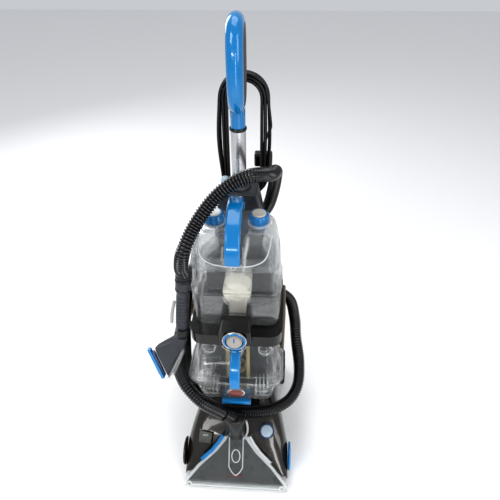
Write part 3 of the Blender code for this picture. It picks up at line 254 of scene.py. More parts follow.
def add_tube(bm, path, radius, sides=12, pattern=None):
    """A round tube along a path.  pattern gives the radius at a distance along it."""
    total = route_length(path)
    frames = frames_along(path)
    profile = pattern(total) if pattern else [(0.0, 0.0)] + [
        (radius, total * i / (len(path) - 1)) for i in range(len(path))] + [(0.0, total)]
    made = add_turned(bm, profile, (0, 0, 0), (0, 0, 1), sides)
    step = total / (len(path) - 1)
    for v in made:
        place = min(max(v.co.z / step, 0.0), len(path) - 1.0)
        i = min(int(place), len(path) - 2)
        share = place - i
        a, b = frames[i], frames[i + 1]
        middle = a[0].lerp(b[0], share)
        across = a[1].lerp(b[1], share).normalized()
        up = a[2].lerp(b[2], share).normalized()
        v.co = middle + across * v.co.x + up * v.co.y
    return made


# ---------------------------------------------------------------- finishes
def start_group(name, inputs, outputs):
    tree = bpy.data.node_groups.new(name, "ShaderNodeTree")
    for label, default in inputs:
        socket = tree.interface.new_socket(label, in_out="INPUT", socket_type="NodeSocketFloat")
        socket.default_value = default
    for label in outputs:
        tree.interface.new_socket(label, in_out="OUTPUT", socket_type="NodeSocketFloat")
    return tree, tree.nodes.new("NodeGroupInput"), tree.nodes.new("NodeGroupOutput")


def noise(tree, coordinates, scale=None, scale_from=None, detail=3.0, roughness=0.5, stretch=None):
    """A noise pattern on the given coordinates, with its strength as output."""
    source = coordinates
    if stretch:
        mapping = tree.nodes.new("ShaderNodeMapping")
        mapping.inputs["Scale"].default_value = stretch
        tree.links.new(coordinates, mapping.inputs["Vector"])
        source = mapping.outputs["Vector"]
    pattern = tree.nodes.new("ShaderNodeTexNoise")
    pattern.inputs["Detail"].default_value = detail
    pattern.inputs["Roughness"].default_value = roughness
    tree.links.new(source, pattern.inputs["Vector"])
    if scale_from:
        tree.links.new(scale_from, pattern.inputs["Scale"])
    else:
        pattern.inputs["Scale"].default_value = scale
    return pattern.outputs["Fac"]


def remap(tree, value, low, high, to_low=0.0, to_high=1.0):
    node = tree.nodes.new("ShaderNodeMapRange")
    tree.links.new(value, node.inputs["Value"])
    for label, number in (("From Min", low), ("From Max", high), ("To Min", to_low),
                          ("To Max", to_high)):
        node.inputs[label].default_value = number
    return node.outputs["Result"]


def times(tree, a, b):
    node = tree.nodes.new("ShaderNodeMath")
    node.operation = "MULTIPLY"
    for socket, value in zip(node.inputs, (a, b)):
        if isinstance(value, (int, float)):
            socket.default_value = value
        else:
            tree.links.new(value, socket)
    return node.outputs["Value"]


def plus(tree, a, b):
    node = tree.nodes.new("ShaderNodeMath")
    node.operation = "ADD"
    tree.links.new(a, node.inputs[0])
    tree.links.new(b, node.inputs[1])
    return node.outputs["Value"]


def moulded_grain_group():
    """The fine texture of a moulding: its height, its uneven sheen and its uneven tone."""
    tree, given, out = start_group("moulded_grain", [("Scale", 900.0)], ["Height", "Sheen", "Tone"])
    place = tree.nodes.new("ShaderNodeTexCoord").outputs["Object"]
    tree.links.new(noise(tree, place, scale_from=given.outputs["Scale"], detail=2.0),
                   out.inputs["Height"])
    tree.links.new(noise(tree, place, scale=38.0, detail=5.0, roughness=0.62), out.inputs["Sheen"])
    tree.links.new(noise(tree, place, scale=9.0, detail=4.0), out.inputs["Tone"])
    return tree


def handling_marks_group():
    """Fine rubs and scratches in two directions, strongest in patches."""
    tree, given, out = start_group("handling_marks", [("Amount", 1.0)], ["Marks"])
    place = tree.nodes.new("ShaderNodeTexCoord").outputs["Object"]
    upright = noise(tree, place, scale=60.0, detail=2.0, stretch=(9.0, 9.0, 0.5))
    level = noise(tree, place, scale=55.0, detail=2.0, stretch=(0.6, 8.0, 9.0))
    patches = remap(tree, noise(tree, place, scale=14.0), 0.42, 0.68)
    lines = plus(tree, remap(tree, upright, 0.64, 0.70), remap(tree, level, 0.66, 0.72))
    tree.links.new(times(tree, times(tree, lines, patches), given.outputs["Amount"]),
                   out.inputs["Marks"])
    return tree


def dust_film_group():
    """Fine dust that settles on what faces up."""
    tree, given, out = start_group("dust_film", [("Amount", 1.0)], ["Dust"])
    place = tree.nodes.new("ShaderNodeTexCoord").outputs["Object"]
    normal = tree.nodes.new("ShaderNodeNewGeometry").outputs["Normal"]
    split = tree.nodes.new("ShaderNodeSeparateXYZ")
    tree.links.new(normal, split.inputs["Vector"])
    upward = remap(tree, split.outputs["Z"], 0.25, 1.0)
    specks = remap(tree, noise(tree, place, scale=70.0, detail=6.0, roughness=0.7), 0.35, 0.75)
    tree.links.new(times(tree, times(tree, upward, specks), given.outputs["Amount"]),
                   out.inputs["Dust"])
    return tree


def place_group(tree, name, **values):
    node = tree.nodes.new("ShaderNodeGroup")
    node.node_tree = bpy.data.node_groups[name]
    for label, value in values.items():
        node.inputs[label].default_value = value
    return node.outputs


def mix_colour(tree, share, a, b):
    node = tree.nodes.new("ShaderNodeMix")
    node.data_type = "RGBA"
    tree.links.new(share, node.inputs["Factor"])
    for socket, value in ((node.inputs["A"], a), (node.inputs["B"], b)):
        if isinstance(value, tuple):
            socket.default_value = (*value, 1.0)
        else:
            tree.links.new(value, socket)
    return node.outputs["Result"]


def dimmed(colour, share):
    return tuple(c * share for c in colour)


def start_material(name, colour, roughness, metallic):
    plain = bpy.data.materials.get(name)
    if plain:
        plain.name = name + "_plain"
    made = bpy.data.materials.new(name)
    made.use_nodes = True
    made.diffuse_color = (*colour, 1.0)
    shader = made.node_tree.nodes["Principled BSDF"]
    shader.inputs["Metallic"].default_value = metallic
    shader.inputs["Roughness"].default_value = roughness
    return made, made.node_tree, shader


def rough_and_grain(tree, shader, roughness, spread, grain, depth, marks):
    """Feeds Roughness from the sheen and the rubs, and Normal from the grain."""
    uneven = remap(tree, grain["Sheen"], 0.3, 0.7, roughness - spread, roughness + spread)
    tree.links.new(plus(tree, uneven, times(tree, marks["Marks"], 0.22)),
                   shader.inputs["Roughness"])
    bump = tree.nodes.new("ShaderNodeBump")
    bump.inputs["Strength"].default_value = 1.0
    bump.inputs["Distance"].default_value = depth
    tree.links.new(grain["Height"], bump.inputs["Height"])
    tree.links.new(bump.outputs["Normal"], shader.inputs["Normal"])


def moulding(name, colour, roughness, spread=0.06, grain=900.0, depth=0.00004, coat=0.0,
             metallic=0.0, marks=0.5, dust=0.25, tone=0.78, flakes=None):
    """A solid plastic, rubber or metal finish with grain, rubs and settled dust."""
    made, tree, shader = start_material(name, colour, roughness, metallic)
    texture = place_group(tree, "moulded_grain", Scale=grain)
    rubs = place_group(tree, "handling_marks", Amount=marks)
    settled = place_group(tree, "dust_film", Amount=dust)
    shader.inputs["Coat Weight"].default_value = coat
    shader.inputs["Coat Roughness"].default_value = 0.06
    share = remap(tree, texture["Tone"], 0.3, 0.7)
    body = mix_colour(tree, share, dimmed(colour, tone), colour)
    if flakes:
        body = mix_colour(tree, sparkle(tree), body, flakes)
    rubbed = tuple(min(1.0, c * 0.8 + 0.035) for c in colour)
    body = mix_colour(tree, times(tree, rubs["Marks"], 0.35), body, rubbed)
    body = mix_colour(tree, settled["Dust"], body, (0.42, 0.39, 0.35))
    tree.links.new(body, shader.inputs["Base Color"])
    rough_and_grain(tree, shader, roughness, spread, texture, depth, rubs)
    return made


def sparkle(tree):
    """Sparse fine specks, as in a metallic paint."""
    place = tree.nodes.new("ShaderNodeTexCoord").outputs["Object"]
    cells = tree.nodes.new("ShaderNodeTexVoronoi")
    cells.inputs["Scale"].default_value = 1500.0
    tree.links.new(place, cells.inputs["Vector"])
    split = tree.nodes.new("ShaderNodeSeparateXYZ")
    tree.links.new(cells.outputs["Color"], split.inputs["Vector"])
    return remap(tree, split.outputs["X"], 0.72, 1.0, 0.0, 0.55)


def clear_plastic(name, tint, roughness, ripple, clear=0.95, solid=0.46):
    """Clear moulded plastic with faint ripples and smears."""
    made, tree, shader = start_material(name, tint, roughness, 0.0)
    shader.inputs["Transmission Weight"].default_value = clear
    shader.inputs["IOR"].default_value = 1.38
    shader.inputs["Alpha"].default_value = solid
    place = tree.nodes.new("ShaderNodeTexCoord").outputs["Object"]
    smears = noise(tree, place, scale=26.0, detail=6.0, roughness=0.65)
    rubs = place_group(tree, "handling_marks", Amount=0.8)
    tree.links.new(mix_colour(tree, remap(tree, smears, 0.35, 0.75), tint, dimmed(tint, 0.97)),
                   shader.inputs["Base Color"])
    uneven = remap(tree, smears, 0.42, 0.75, roughness, roughness + 0.025)
    tree.links.new(plus(tree, uneven, times(tree, rubs["Marks"], 0.05)),
                   shader.inputs["Roughness"])
    bump = tree.nodes.new("ShaderNodeBump")
    bump.inputs["Distance"].default_value = ripple
    tree.links.new(noise(tree, place, scale=30.0, detail=1.0), bump.inputs["Height"])
    tree.links.new(bump.outputs["Normal"], shader.inputs["Normal"])
    return made


def drawn_metal(name, colour, roughness, stretch):
    """Metal with fine drawing lines along one direction."""
    made, tree, shader = start_material(name, colour, roughness, 1.0)
    place = tree.nodes.new("ShaderNodeTexCoord").outputs["Object"]
    lines = noise(tree, place, scale=120.0, detail=4.0, stretch=stretch)
    cloud = noise(tree, place, scale=16.0, detail=4.0)
    tree.links.new(mix_colour(tree, remap(tree, lines, 0.3, 0.7), dimmed(colour, 0.82), colour),
                   shader.inputs["Base Color"])
    tree.links.new(remap(tree, cloud, 0.3, 0.7, roughness - 0.05, roughness + 0.09),
                   shader.inputs["Roughness"])
    bump = tree.nodes.new("ShaderNodeBump")
    bump.inputs["Distance"].default_value = 0.00004
    tree.links.new(lines, bump.inputs["Height"])
    tree.links.new(bump.outputs["Normal"], shader.inputs["Normal"])
    return made


def make_finishes(sizes):
    moulded_grain_group()
    handling_marks_group()
    dust_film_group()
    blue = tuple(sizes.blue)
    bronze = tuple(sizes.bronze)
    tint = tuple(sizes.clear_tint)
    colour = SLOT_COLOUR
    moulding("slate_plastic", colour["slate_plastic"], 0.42, grain=1400.0, depth=0.00005, dust=0.10)
    moulding("dark_bronze", bronze, 0.24, spread=0.04, grain=500.0, depth=0.00002, coat=0.9,
             metallic=0.35, marks=0.4, dust=0.02, flakes=(0.12, 0.10, 0.07))
    moulding("taupe_bronze", colour["taupe_bronze"], 0.36, metallic=0.55, coat=0.2,
             flakes=(0.34, 0.27, 0.2))
    moulding("glossy_blue", blue, 0.16, spread=0.04, grain=400.0, depth=0.00002, coat=0.6,
             marks=0.45, dust=0.03, tone=0.86)
    moulding("black_plastic", (0.006, 0.006, 0.006), 0.22, dust=0.02, coat=0.2)
    moulding("hose_vinyl", (0.003, 0.003, 0.004), 0.13, spread=0.03, grain=500.0, coat=0.6,
             dust=0.015, marks=0.2)
    moulding("cord_vinyl", colour["cord_vinyl"], 0.42, grain=1200.0, dust=0.10)
    moulding("rubber_black", colour["rubber_black"], 0.72, grain=1100.0, depth=0.00008, dust=0.4)
    moulding("light_grey_plastic", colour["light_grey_plastic"], 0.36)
    moulding("pale_blue_grey", colour["pale_blue_grey"], 0.30, coat=0.2)
    moulding("olive_grey", colour["olive_grey"], 0.42)
    moulding("beige_grey", colour["beige_grey"], 0.40)
    moulding("pale_blue", colour["pale_blue"], 0.32, coat=0.2)
    moulding("grip_grey_brown", colour["grip_grey_brown"], 0.50, grain=1600.0, depth=0.00007)
    moulding("cap_white", colour["cap_white"], 0.36)
    moulding("cap_beige", colour["cap_beige"], 0.38)
    moulding("cream_plastic", colour["cream_plastic"], 0.34)
    moulding("silver_trim", (0.62, 0.62, 0.60), 0.22, metallic=0.85, dust=0.05)
    moulding("nozzle_dark", (0.020, 0.024, 0.023), 0.30, coat=0.2, dust=0.05)
    moulding("badge_red", (0.20, 0.045, 0.028), 0.22, coat=0.7, dust=0.04)
    moulding("dark_navy", (0.008, 0.035, 0.11), 0.26, coat=0.4)
    moulding("slot_red", (0.17, 0.012, 0.010), 0.5)
    moulding("aged_column", (0.50, 0.40, 0.20), 0.45, tone=0.6)
    moulding("milky_rib", (0.80, 0.81, 0.79), 0.30)
    moulding("white_mark", (0.85, 0.85, 0.85), 0.45, dust=0.1)
    clear_plastic("clear_plastic", tint, sizes.clear_roughness, 0.00012)
    clear_plastic("frosted_clear", (0.93, 0.95, 0.96), 0.32, 0.0004, 0.55, 0.75)
    drawn_metal("satin_aluminium", colour["satin_aluminium"], 0.30, (6.0, 6.0, 0.25))
    drawn_metal("steel", colour["steel"], 0.28, (0.3, 6.0, 6.0))
    drawn_metal("brass", (0.62, 0.45, 0.18), 0.25, (6.0, 0.3, 6.0))


# ---------------------------------------------------------------- hose and cord
def ribbed(radius, pitch, groove):
    """The outline of a corrugated hose: flat crests with round grooves between them."""
    def pattern(total):
        ribs = max(2, round(total / pitch))
        step = total / ribs
        profile = [(radius * 0.70, 0.0)]
        for i in range(ribs):
            start = i * step
            profile += [(radius - groove, start + 0.08 * step),
                        (radius - groove * 0.18, start + 0.30 * step),
                        (radius, start + 0.52 * step),
                        (radius - groove * 0.18, start + 0.74 * step)]
        profile += [(radius - groove, total - 0.02 * step), (radius * 0.70, total)]
        return profile
    return pattern


def build_stretch_hose(sizes):
    """The ribbed suction hose, from the nozzle's port round the machine to the wand."""
    path = smooth_path([at(*p) for p in HOSE_ROUTE], 0.006)
    bm = bmesh.new()
    radius = sizes.hose_diameter / 2
    add_tube(bm, path, radius, 22, ribbed(radius, sizes.rib_pitch, sizes.rib_depth))
    hose = piece(bm, "stretch_hose_ribbed", "hose_vinyl", None, (), 70)
    hose.parent = None
    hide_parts("stretch_hose")
    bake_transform(hose)
    return hose, path


def ease(t):
    t = min(1.0, max(0.0, t))
    return t * t * (3 - 2 * t)


WINDING_MIDDLE = (0.008, 0.8375)         # X and Z of the middle of the wound loop
WINDING_RADIUS = 0.0395                  # half the loop's width, at its innermost turn
WINDING_STRAIGHT = 0.0975                # half the length of its straight sides
WINDING_ROWS_Y = (0.1792, 0.1722, 0.1652)
TURN_SLOTS = ((0, 0), (0, 1), (0, 2), (1, 2), (1, 1), (1, 0), (2, 0), (2, 1), (2, 2), (2, 2))
TURN_SLACK = (0.0, 0.0, 0.001, 0.001, 0.0015, 0.002, 0.004, 0.0055, 0.007, 0.007)


def winding_point(turns, pitch):
    """A point of the wound cord; turns counts from the middle of the left side, going up."""
    k = int(turns)
    u = turns - k
    nxt = min(k + 1, len(TURN_SLOTS) - 1)
    k = min(k, len(TURN_SLOTS) - 1)
    cross = ease((u - 0.62) / 0.30)
    column = TURN_SLOTS[k][0] * (1 - cross) + TURN_SLOTS[nxt][0] * cross
    row = (WINDING_ROWS_Y[TURN_SLOTS[k][1]] * (1 - cross)
           + WINDING_ROWS_Y[TURN_SLOTS[nxt][1]] * cross)
    slack = TURN_SLACK[k] * (1 - cross) + TURN_SLACK[nxt] * cross
    radius = WINDING_RADIUS + column * pitch
    straight, arc = 2 * WINDING_STRAIGHT, math.pi * radius
    s = u * 2 * (straight + arc)
    half = straight / 2
    if s < half:
        x, z = -radius, s
    elif s < half + arc:
        a = (s - half) / radius
        x, z = -radius * math.cos(a), half + radius * math.sin(a)
    elif s < half + arc + straight:
        x, z = radius, half - (s - half - arc)
    elif s < half + 2 * arc + straight:
        a = (s - half - arc - straight) / radius
        x, z = radius * math.cos(a), -half - radius * math.sin(a)
    else:
        x, z = -radius, -half + (s - half - 2 * arc - straight)
    side = math.copysign(1.0, x) * slack * max(0.0, math.cos(z / (half * 1.15) * math.pi / 2)) ** 1.5
    return at(WINDING_MIDDLE[0] + x + side, row, WINDING_MIDDLE[1] + z)


def mains_cord_path(sizes):
    """From the gland up behind the loop, round it, and down to the plug."""
    x, y, z = GLAND
    lead = [(x, y + 0.009, z), (x, y + 0.022, z), (x, y + 0.036, z + 0.001),
            (x - 0.001, y + 0.048, z + 0.008), (x - 0.002, y + 0.055, z + 0.024),
            (x - 0.002, y + 0.0565, z + 0.045), (x - 0.001, y + 0.0560, z + 0.070),
            (x + 0.004, y + 0.0555, z + 0.100), (x + 0.010, y + 0.0530, z + 0.132)]
    path = [at(*p) for p in lead]
    turns, last = 0.12, 8.335
    steps = int((last - turns) * 44)
    path += [winding_point(turns + (last - turns) * i / steps, sizes.cord_diameter)
             for i in range(steps + 1)]
    px, py, pz = PLUG_NECK
    tail = [(px + 0.017, py - 0.0345, pz + 0.078), (px + 0.015, py - 0.022, pz + 0.056),
            (px + 0.009, py - 0.009, pz + 0.035), (px + 0.003, py - 0.001, pz + 0.016),
            (px, py, pz + 0.004), (px, py, pz - 0.006)]
    path += [at(*p) for p in tail]
    return smooth_path(path, 0.008)


def build_mains_cord(sizes):
    path = mains_cord_path(sizes)
    data = bpy.data.curves.new("mains_cord", "CURVE")
    data.dimensions = "3D"
    data.bevel_depth = sizes.cord_diameter / 2
    data.bevel_resolution = 2
    data.use_fill_caps = True
    line = data.splines.new("POLY")
    line.points.add(len(path) - 1)
    for point, place in zip(line.points, path):
        point.co = (*place, 1.0)
    line.use_smooth = True
    cord = set_up(data, "mains_cord", "cord_vinyl", "upright",
                  ("cord_lead", "cord_winding", "cord_tail"))
    return path


def build_strain_relief():
    """A tapered sleeve with rings cut round it, where the cord leaves the case."""
    profile = [(0.0040, 0.0), (0.0098, 0.0), (0.0100, 0.0015), (0.0092, 0.0025)]
    rings = 6
    for i in range(rings):
        h = 0.0045 + i * 0.0042
        r = 0.0086 - 0.0034 * i / rings
        profile += [(r, h - 0.0012), (r, h + 0.0012), (r - 0.0014, h + 0.0016),
                    (r - 0.0014, h + 0.0024)]
    profile += [(0.0050, 0.0292), (0.0046, 0.0300), (0.0037, 0.0300)]
    bm = bmesh.new()
    add_turned(bm, profile, at(*GLAND), (0, 1, 0), 32)
    return piece(bm, "strain_relief_sleeve", "black_plastic", "upright",
                 ("strain_relief",), 30)


def build_plug():
    """A moulded three-pin plug with a grip ridge, its neck up."""
    low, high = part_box("mains_plug")
    mid_x = (low.x + high.x) / 2
    face_y = at(0, 0.2166, 0).y
    bm = bmesh.new()
    add_block(bm, (low.x, face_y - 0.022, low.z), (high.x, face_y, low.z + 0.036), 0.0045, 4)
    add_block(bm, (low.x + 0.003, face_y - 0.0232, low.z + 0.004),
              (high.x - 0.003, face_y - 0.018, low.z + 0.032), 0.002, 3)
    for i in range(4):
        z = low.z + 0.0075 + i * 0.006
        for side in (-1, 1):
            edge = mid_x + side * 0.0212
            add_block(bm, (edge - 0.0012, face_y - 0.017, z), (edge + 0.0012, face_y - 0.005, z + 0.003),
                      0.0008, 2)
    add_turned(bm, [(0.0, 0.0), (0.0085, 0.0), (0.0072, 0.006), (0.0060, 0.012), (0.0048, 0.0145),
                    (0.0036, 0.015)], Vector((mid_x, at(*PLUG_NECK).y, low.z + 0.0335)), (0, 0, 1), 28)
    plug = piece(bm, "mains_plug_moulding", "black_plastic", "upright",
                 ("mains_plug",), 40)
    bm = bmesh.new()
    length = high.y - face_y
    for x, z, wide, tall in ((0.0, 0.026, 0.0020, 0.0040), (-0.011, 0.0065, 0.0032, 0.0020),
                             (0.011, 0.0065, 0.0032, 0.0020)):
        add_block(bm, (mid_x + x - wide, face_y - 0.002, low.z + z - tall),
                  (mid_x + x + wide, face_y + length, low.z + z + tall), 0.0006, 2)
    pins = piece(bm, "mains_plug_pins", "brass", "upright", (), 40)
    return [plug, pins]


# ---------------------------------------------------------------- skins of the fixed nodes
SHELLS = {
    "base": ("base_chassis", "base_hood", "nozzle_cover", "hose_port", "left_side_cover",
             "right_side_cover", "foot_button", "release_pedal", "hose_connector",
             "connector_lever", "brush_motor", "motor_pulley", "water_pump"),
    "upright": ("lower_case", "lower_back_cover", "left_side_rail", "right_side_rail",
                "tank_cradle", "tank_shelf", "spine_case", "spine_back_cover", "hose_rest",
                "lower_cord_hook", "upper_cord_hook", "mode_dial"),
    "handle": ("pole", "handle_outer_shell", "handle_inner_shell", "spray_trigger"),
    "tanks": ("clean_tank", "clean_tank_handle", "tank_valve", "dirty_tank",
              "dirty_tank_handle", "tank_latch", "tank_float"),
    "tool": ("wand_grip", "wand_trigger", "hand_tool", "tool_window", "tool_clip"),
}
# the left side cover takes the dark bronze in place of its own blue gloss: painted shade on the machine's
# shaded left side
PAINTED_SHADE_FINISH = {"left_side_cover": "dark_bronze"}
EDGE_ROUNDING = {
    "base_hood": 0.0, "handle_outer_shell": 0.0, "handle_inner_shell": 0.0, "clean_tank": 0.0,
    "dirty_tank": 0.0, "pole": 0.0, "hand_tool": 0.0008, "foot_button": 0.0015,
    "release_pedal": 0.0014, "mode_dial": 0.0012, "tank_latch": 0.0, "hose_connector": 0.0,
    "wand_grip": 0.0, "clean_tank_handle": 0.0022, "dirty_tank_handle": 0.0022,
    "tank_valve": 0.0015, "connector_lever": 0.0, "wand_trigger": 0.0, "tank_shelf": 0.0012,
    "left_side_rail": 0.0015, "right_side_rail": 0.0015, "left_side_cover": 0.002,
    "right_side_cover": 0.002, "nozzle_cover": 0.0008, "spray_trigger": 0.001,
}


def build_skins(group):
    for node in SHELLS[group]:
        # the left side cover gets the dark bronze here as painted shade; every other node keeps its own
        # slot's finish
        skin(node, PAINTED_SHADE_FINISH.get(node), edge=EDGE_ROUNDING.get(node, 0.0008))


# ---------------------------------------------------------------- base fittings
def build_wheel(node):
    """A ribbed tyre on a dished hub with five spokes and a cap."""
    low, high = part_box(node)
    middle = (low + high) / 2
    radius, half = (high.z - low.z) / 2, (high.x - low.x) / 2
    out = Vector((math.copysign(1.0, middle.x - MIDDLE.x), 0, 0))
    start = middle - out * half
    profile = [(radius - 0.016, 0.0), (radius - 0.006, 0.0), (radius - 0.0012, 0.0022)]
    for i in range(4):
        h = 0.0045 + i * 0.0060
        profile += [(radius, h), (radius, h + 0.0036), (radius - 0.0014, h + 0.0042),
                    (radius - 0.0014, h + 0.0054)]
    top = 2 * half
    profile += [(radius - 0.0012, top - 0.0022), (radius - 0.006, top), (radius - 0.016, top),
                (radius - 0.018, top - 0.004), (radius - 0.018, 0.004), (radius - 0.016, 0.0)]
    bm = bmesh.new()
    add_turned(bm, profile, start, out, 72)
    piece(bm, node + "_tyre", "rubber_black", node, (node,), 35)
    bm = bmesh.new()
    rim = radius - 0.0182
    add_turned(bm, [(0.0062, 0.002), (rim, 0.002), (rim, top - 0.003), (rim - 0.004, top - 0.003),
                    (rim - 0.007, top - 0.010), (0.016, top - 0.011), (0.013, top - 0.004),
                    (0.009, top - 0.002), (0.0062, top - 0.002), (0.0062, 0.002)], start, out, 48)
    for i in range(5):
        turn = Matrix.Rotation(math.tau * i / 5, 3, "X")
        made = add_block(bm, (-0.003, -0.0028, 0.012), (0.004, 0.0028, rim - 0.002), 0.001, 2)
        bmesh.ops.transform(bm, matrix=Matrix.Translation(middle + out * (half - 0.010))
                            @ turn.to_4x4(), verts=made)
    piece(bm, node + "_hub", "slate_plastic", node, (), 35)
    bm = bmesh.new()
    add_turned(bm, [(0.0, top + 0.0012), (0.006, top + 0.0006), (0.0085, top - 0.002),
                    (0.0085, top - 0.004)], start, out, 32)
    piece(bm, node + "_cap", "silver_trim", node, (), 30)


def build_brush():
    """The brush roller with four winding rows of tufts."""
    skin("brush_roller", edge=0.0006)
    low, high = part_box("brush_roller")
    middle, length = (low + high) / 2, high.x - low.x
    radius = (high.z - low.z) / 2
    bm = bmesh.new()
    count = 34
    for row in range(4):
        for i in range(count):
            share = (i + 0.5) / count
            angle = math.tau * (row / 4 + 0.55 * share)
            out = Vector((0, math.cos(angle), math.sin(angle)))
            place = Vector((low.x + 0.006 + (length - 0.012) * share, middle.y, middle.z))
            made = bmesh.ops.create_cone(bm, cap_ends=True, segments=6, radius1=0.0011,
                                         radius2=0.0017, depth=0.0052)["verts"]
            turn = Vector((0, 0, 1)).rotation_difference(out).to_matrix().to_4x4()
            bmesh.ops.transform(bm, matrix=Matrix.Translation(place + out * (radius - 0.0026))
                                @ turn, verts=made)
    piece(bm, "brush_tufts", "light_grey_plastic", "brush", (), 40)


def on_surface(node, start, direction):
    """Where a ray first meets a node, and the surface's direction there."""
    bm = bmesh.new()
    bm.from_mesh(frame["nodes"][node].data)
    place, normal, _, _ = BVHTree.FromBMesh(bm).ray_cast(start, Vector(direction).normalized())
    bm.free()
    if place is None:
        raise RuntimeError(f"no surface of {node} lies that way")
    return place, normal


def nozzle_point(x, share, lift=0.0):
    """A point on the sloping nozzle's face: share is how far up it, lift how far off it."""
    foot, top = Vector((x, -0.250, 0.010)), Vector((x, -0.165, 0.142))
    up = (top - foot).normalized()
    out = Vector((0, -up.z, up.y))
    point = foot.lerp(top, share) + out * lift
    return at(*point)


NOZZLE_SHARES = ((0.1415, 0.0), (0.1415, 0.09), (0.104, 0.40), (0.060, 0.68), (0.038, 0.87),
                 (0.030, 0.97))


def nozzle_half_width(share):
    for (w0, s0), (w1, s1) in zip(NOZZLE_SHARES, NOZZLE_SHARES[1:]):
        if share <= s1:
            return w0 + (w1 - w0) * (share - s0) / (s1 - s0)
    return NOZZLE_SHARES[-1][0]


def build_nozzle_fittings():
    """The nozzle's raised rim, its duct's window, its mouth, its screws and its side trims."""
    bm = bmesh.new()
    left = [nozzle_point(-nozzle_half_width(s) + 0.0022, s, 0.0008)
            for s in [i / 24 * 0.95 for i in range(1, 25)]]
    right = [nozzle_point(nozzle_half_width(s) - 0.0022, s, 0.0008)
             for s in [i / 24 * 0.95 for i in range(1, 25)]]
    for line in (left, right):
        add_tube(bm, smooth_path(line, 0.004), 0.0030, 10)
    add_tube(bm, smooth_path([nozzle_point(x, 0.035, 0.0008) for x in
                              (-0.139, -0.10, -0.05, 0.0, 0.05, 0.10, 0.139)], 0.006), 0.0024, 10)
    for side in (-1, 1):
        add_tube(bm, smooth_path([nozzle_point(side * 0.0185, s, 0.0052) for s in
                                  (0.40, 0.5, 0.6, 0.7, 0.8, 0.9, 0.97)], 0.005), 0.0016, 8)
        add_tube(bm, smooth_path([nozzle_point(side * x, s, 0.0022) for x, s in
                                  ((0.0185, 0.40), (0.012, 0.32), (0.004, 0.265), (0.0, 0.25))],
                                 0.004), 0.0016, 8)
    for side in (-1, 1):
        line = [nozzle_point(side * (nozzle_half_width(s) - 0.0075), s, 0.0002)
                for s in [i / 24 * 0.95 for i in range(1, 25)]]
        add_tube(bm, smooth_path(line, 0.004), 0.0016, 8)
    piece(bm, "nozzle_rim", "frosted_clear", "base", (), 60)
    bm = bmesh.new()
    rows = [[nozzle_point(t * (nozzle_half_width(s) - 0.006), s, lift) for t in
             (-1, -0.6, -0.2, 0.2, 0.6, 1)] for lift in (-0.0126, -0.0118)
            for s in [0.05 + 0.93 * i / 20 for i in range(21)]]
    rows = [[bm.verts.new(p) for p in row] for row in rows]
    for low, high in list(zip(rows[:21], rows[1:21])) + list(zip(rows[21:], rows[22:])):
        for k in range(5):
            bm.faces.new((low[k], low[k + 1], high[k + 1], high[k]))
    edge = [e for e in bm.edges if len(e.link_faces) == 1]
    bmesh.ops.bridge_loops(bm, edges=edge)
    piece(bm, "nozzle_backing", "nozzle_dark", "base", (), 30)
    bm = bmesh.new()
    ring = [(0.0110 * math.cos(a), 0.62 + 0.115 * math.sin(a)) for a in
            (math.tau * i / 40 for i in range(41))]
    add_tube(bm, evenly([nozzle_point(x, s, 0.0076) for x, s in ring], 0.0025), 0.0011, 8)
    piece(bm, "duct_window_rim", "milky_rib", "base", (), 60)
    bm = bmesh.new()
    for side in (-1, 1):
        face = nozzle_point(side * 0.126, 0.055, 0.0002)
        out = (nozzle_point(0, 0.5, 1.0) - nozzle_point(0, 0.5, 0.0)).normalized()
        add_turned(bm, [(0.0072, -0.001), (0.0072, 0.0022), (0.0060, 0.0030), (0.0048, 0.0030),
                        (0.0044, 0.0014), (0.0, 0.0014)], face, out, 28)
    piece(bm, "nozzle_screw_bosses", "milky_rib", "base", (), 30)
    bm = bmesh.new()
    for side in (-1, 1):
        face = nozzle_point(side * 0.126, 0.055, 0.0016)
        out = (nozzle_point(0, 0.5, 1.0) - nozzle_point(0, 0.5, 0.0)).normalized()
        add_screw(bm, face, out, 0.0040)
    piece(bm, "nozzle_screws", "steel", "base", (), 30)
    bm = bmesh.new()
    slit = [nozzle_point(x, 0.235, 0.0012) for x in (-0.021, -0.010, 0.0, 0.010, 0.021)]
    add_tube(bm, smooth_path(slit, 0.003), 0.0015, 8)
    piece(bm, "duct_slit", "slot_red", "base", (), 60)
    for side, name, finish, thick in ((-1, "left", "glossy_blue", 0.0056),
                                      (1, "right", "frosted_clear", 0.0036)):
        bm = bmesh.new()
        line = [nozzle_point(side * (nozzle_half_width(s) + 0.0050), s, -0.0010) for s in
                (0.50, 0.60, 0.68, 0.76, 0.84, 0.96)]
        add_tube(bm, smooth_path(line, 0.004), thick, 14)
        piece(bm, f"nozzle_trim_{name}", finish, "base", (), 60)


def add_screw(bm, place, direction, radius):
    """A round screw head with a cross cut in it."""
    add_turned(bm, [(radius, 0.0), (radius, radius * 0.25), (radius * 0.8, radius * 0.45),
                    (radius * 0.55, radius * 0.52), (radius * 0.50, radius * 0.22),
                    (0.0, radius * 0.18)], place, direction, 24)
    turn = Vector((0, 0, 1)).rotation_difference(Vector(direction).normalized()).to_matrix()
    for angle in (0.0, math.pi / 2):
        made = add_block(bm, (-radius * 0.46, -radius * 0.09, radius * 0.20),
                         (radius * 0.46, radius * 0.09, radius * 0.42))
        matrix = Matrix.Translation(place) @ (turn @ Matrix.Rotation(angle, 3, "Z")).to_4x4()
        bmesh.ops.transform(bm, matrix=matrix, verts=made)


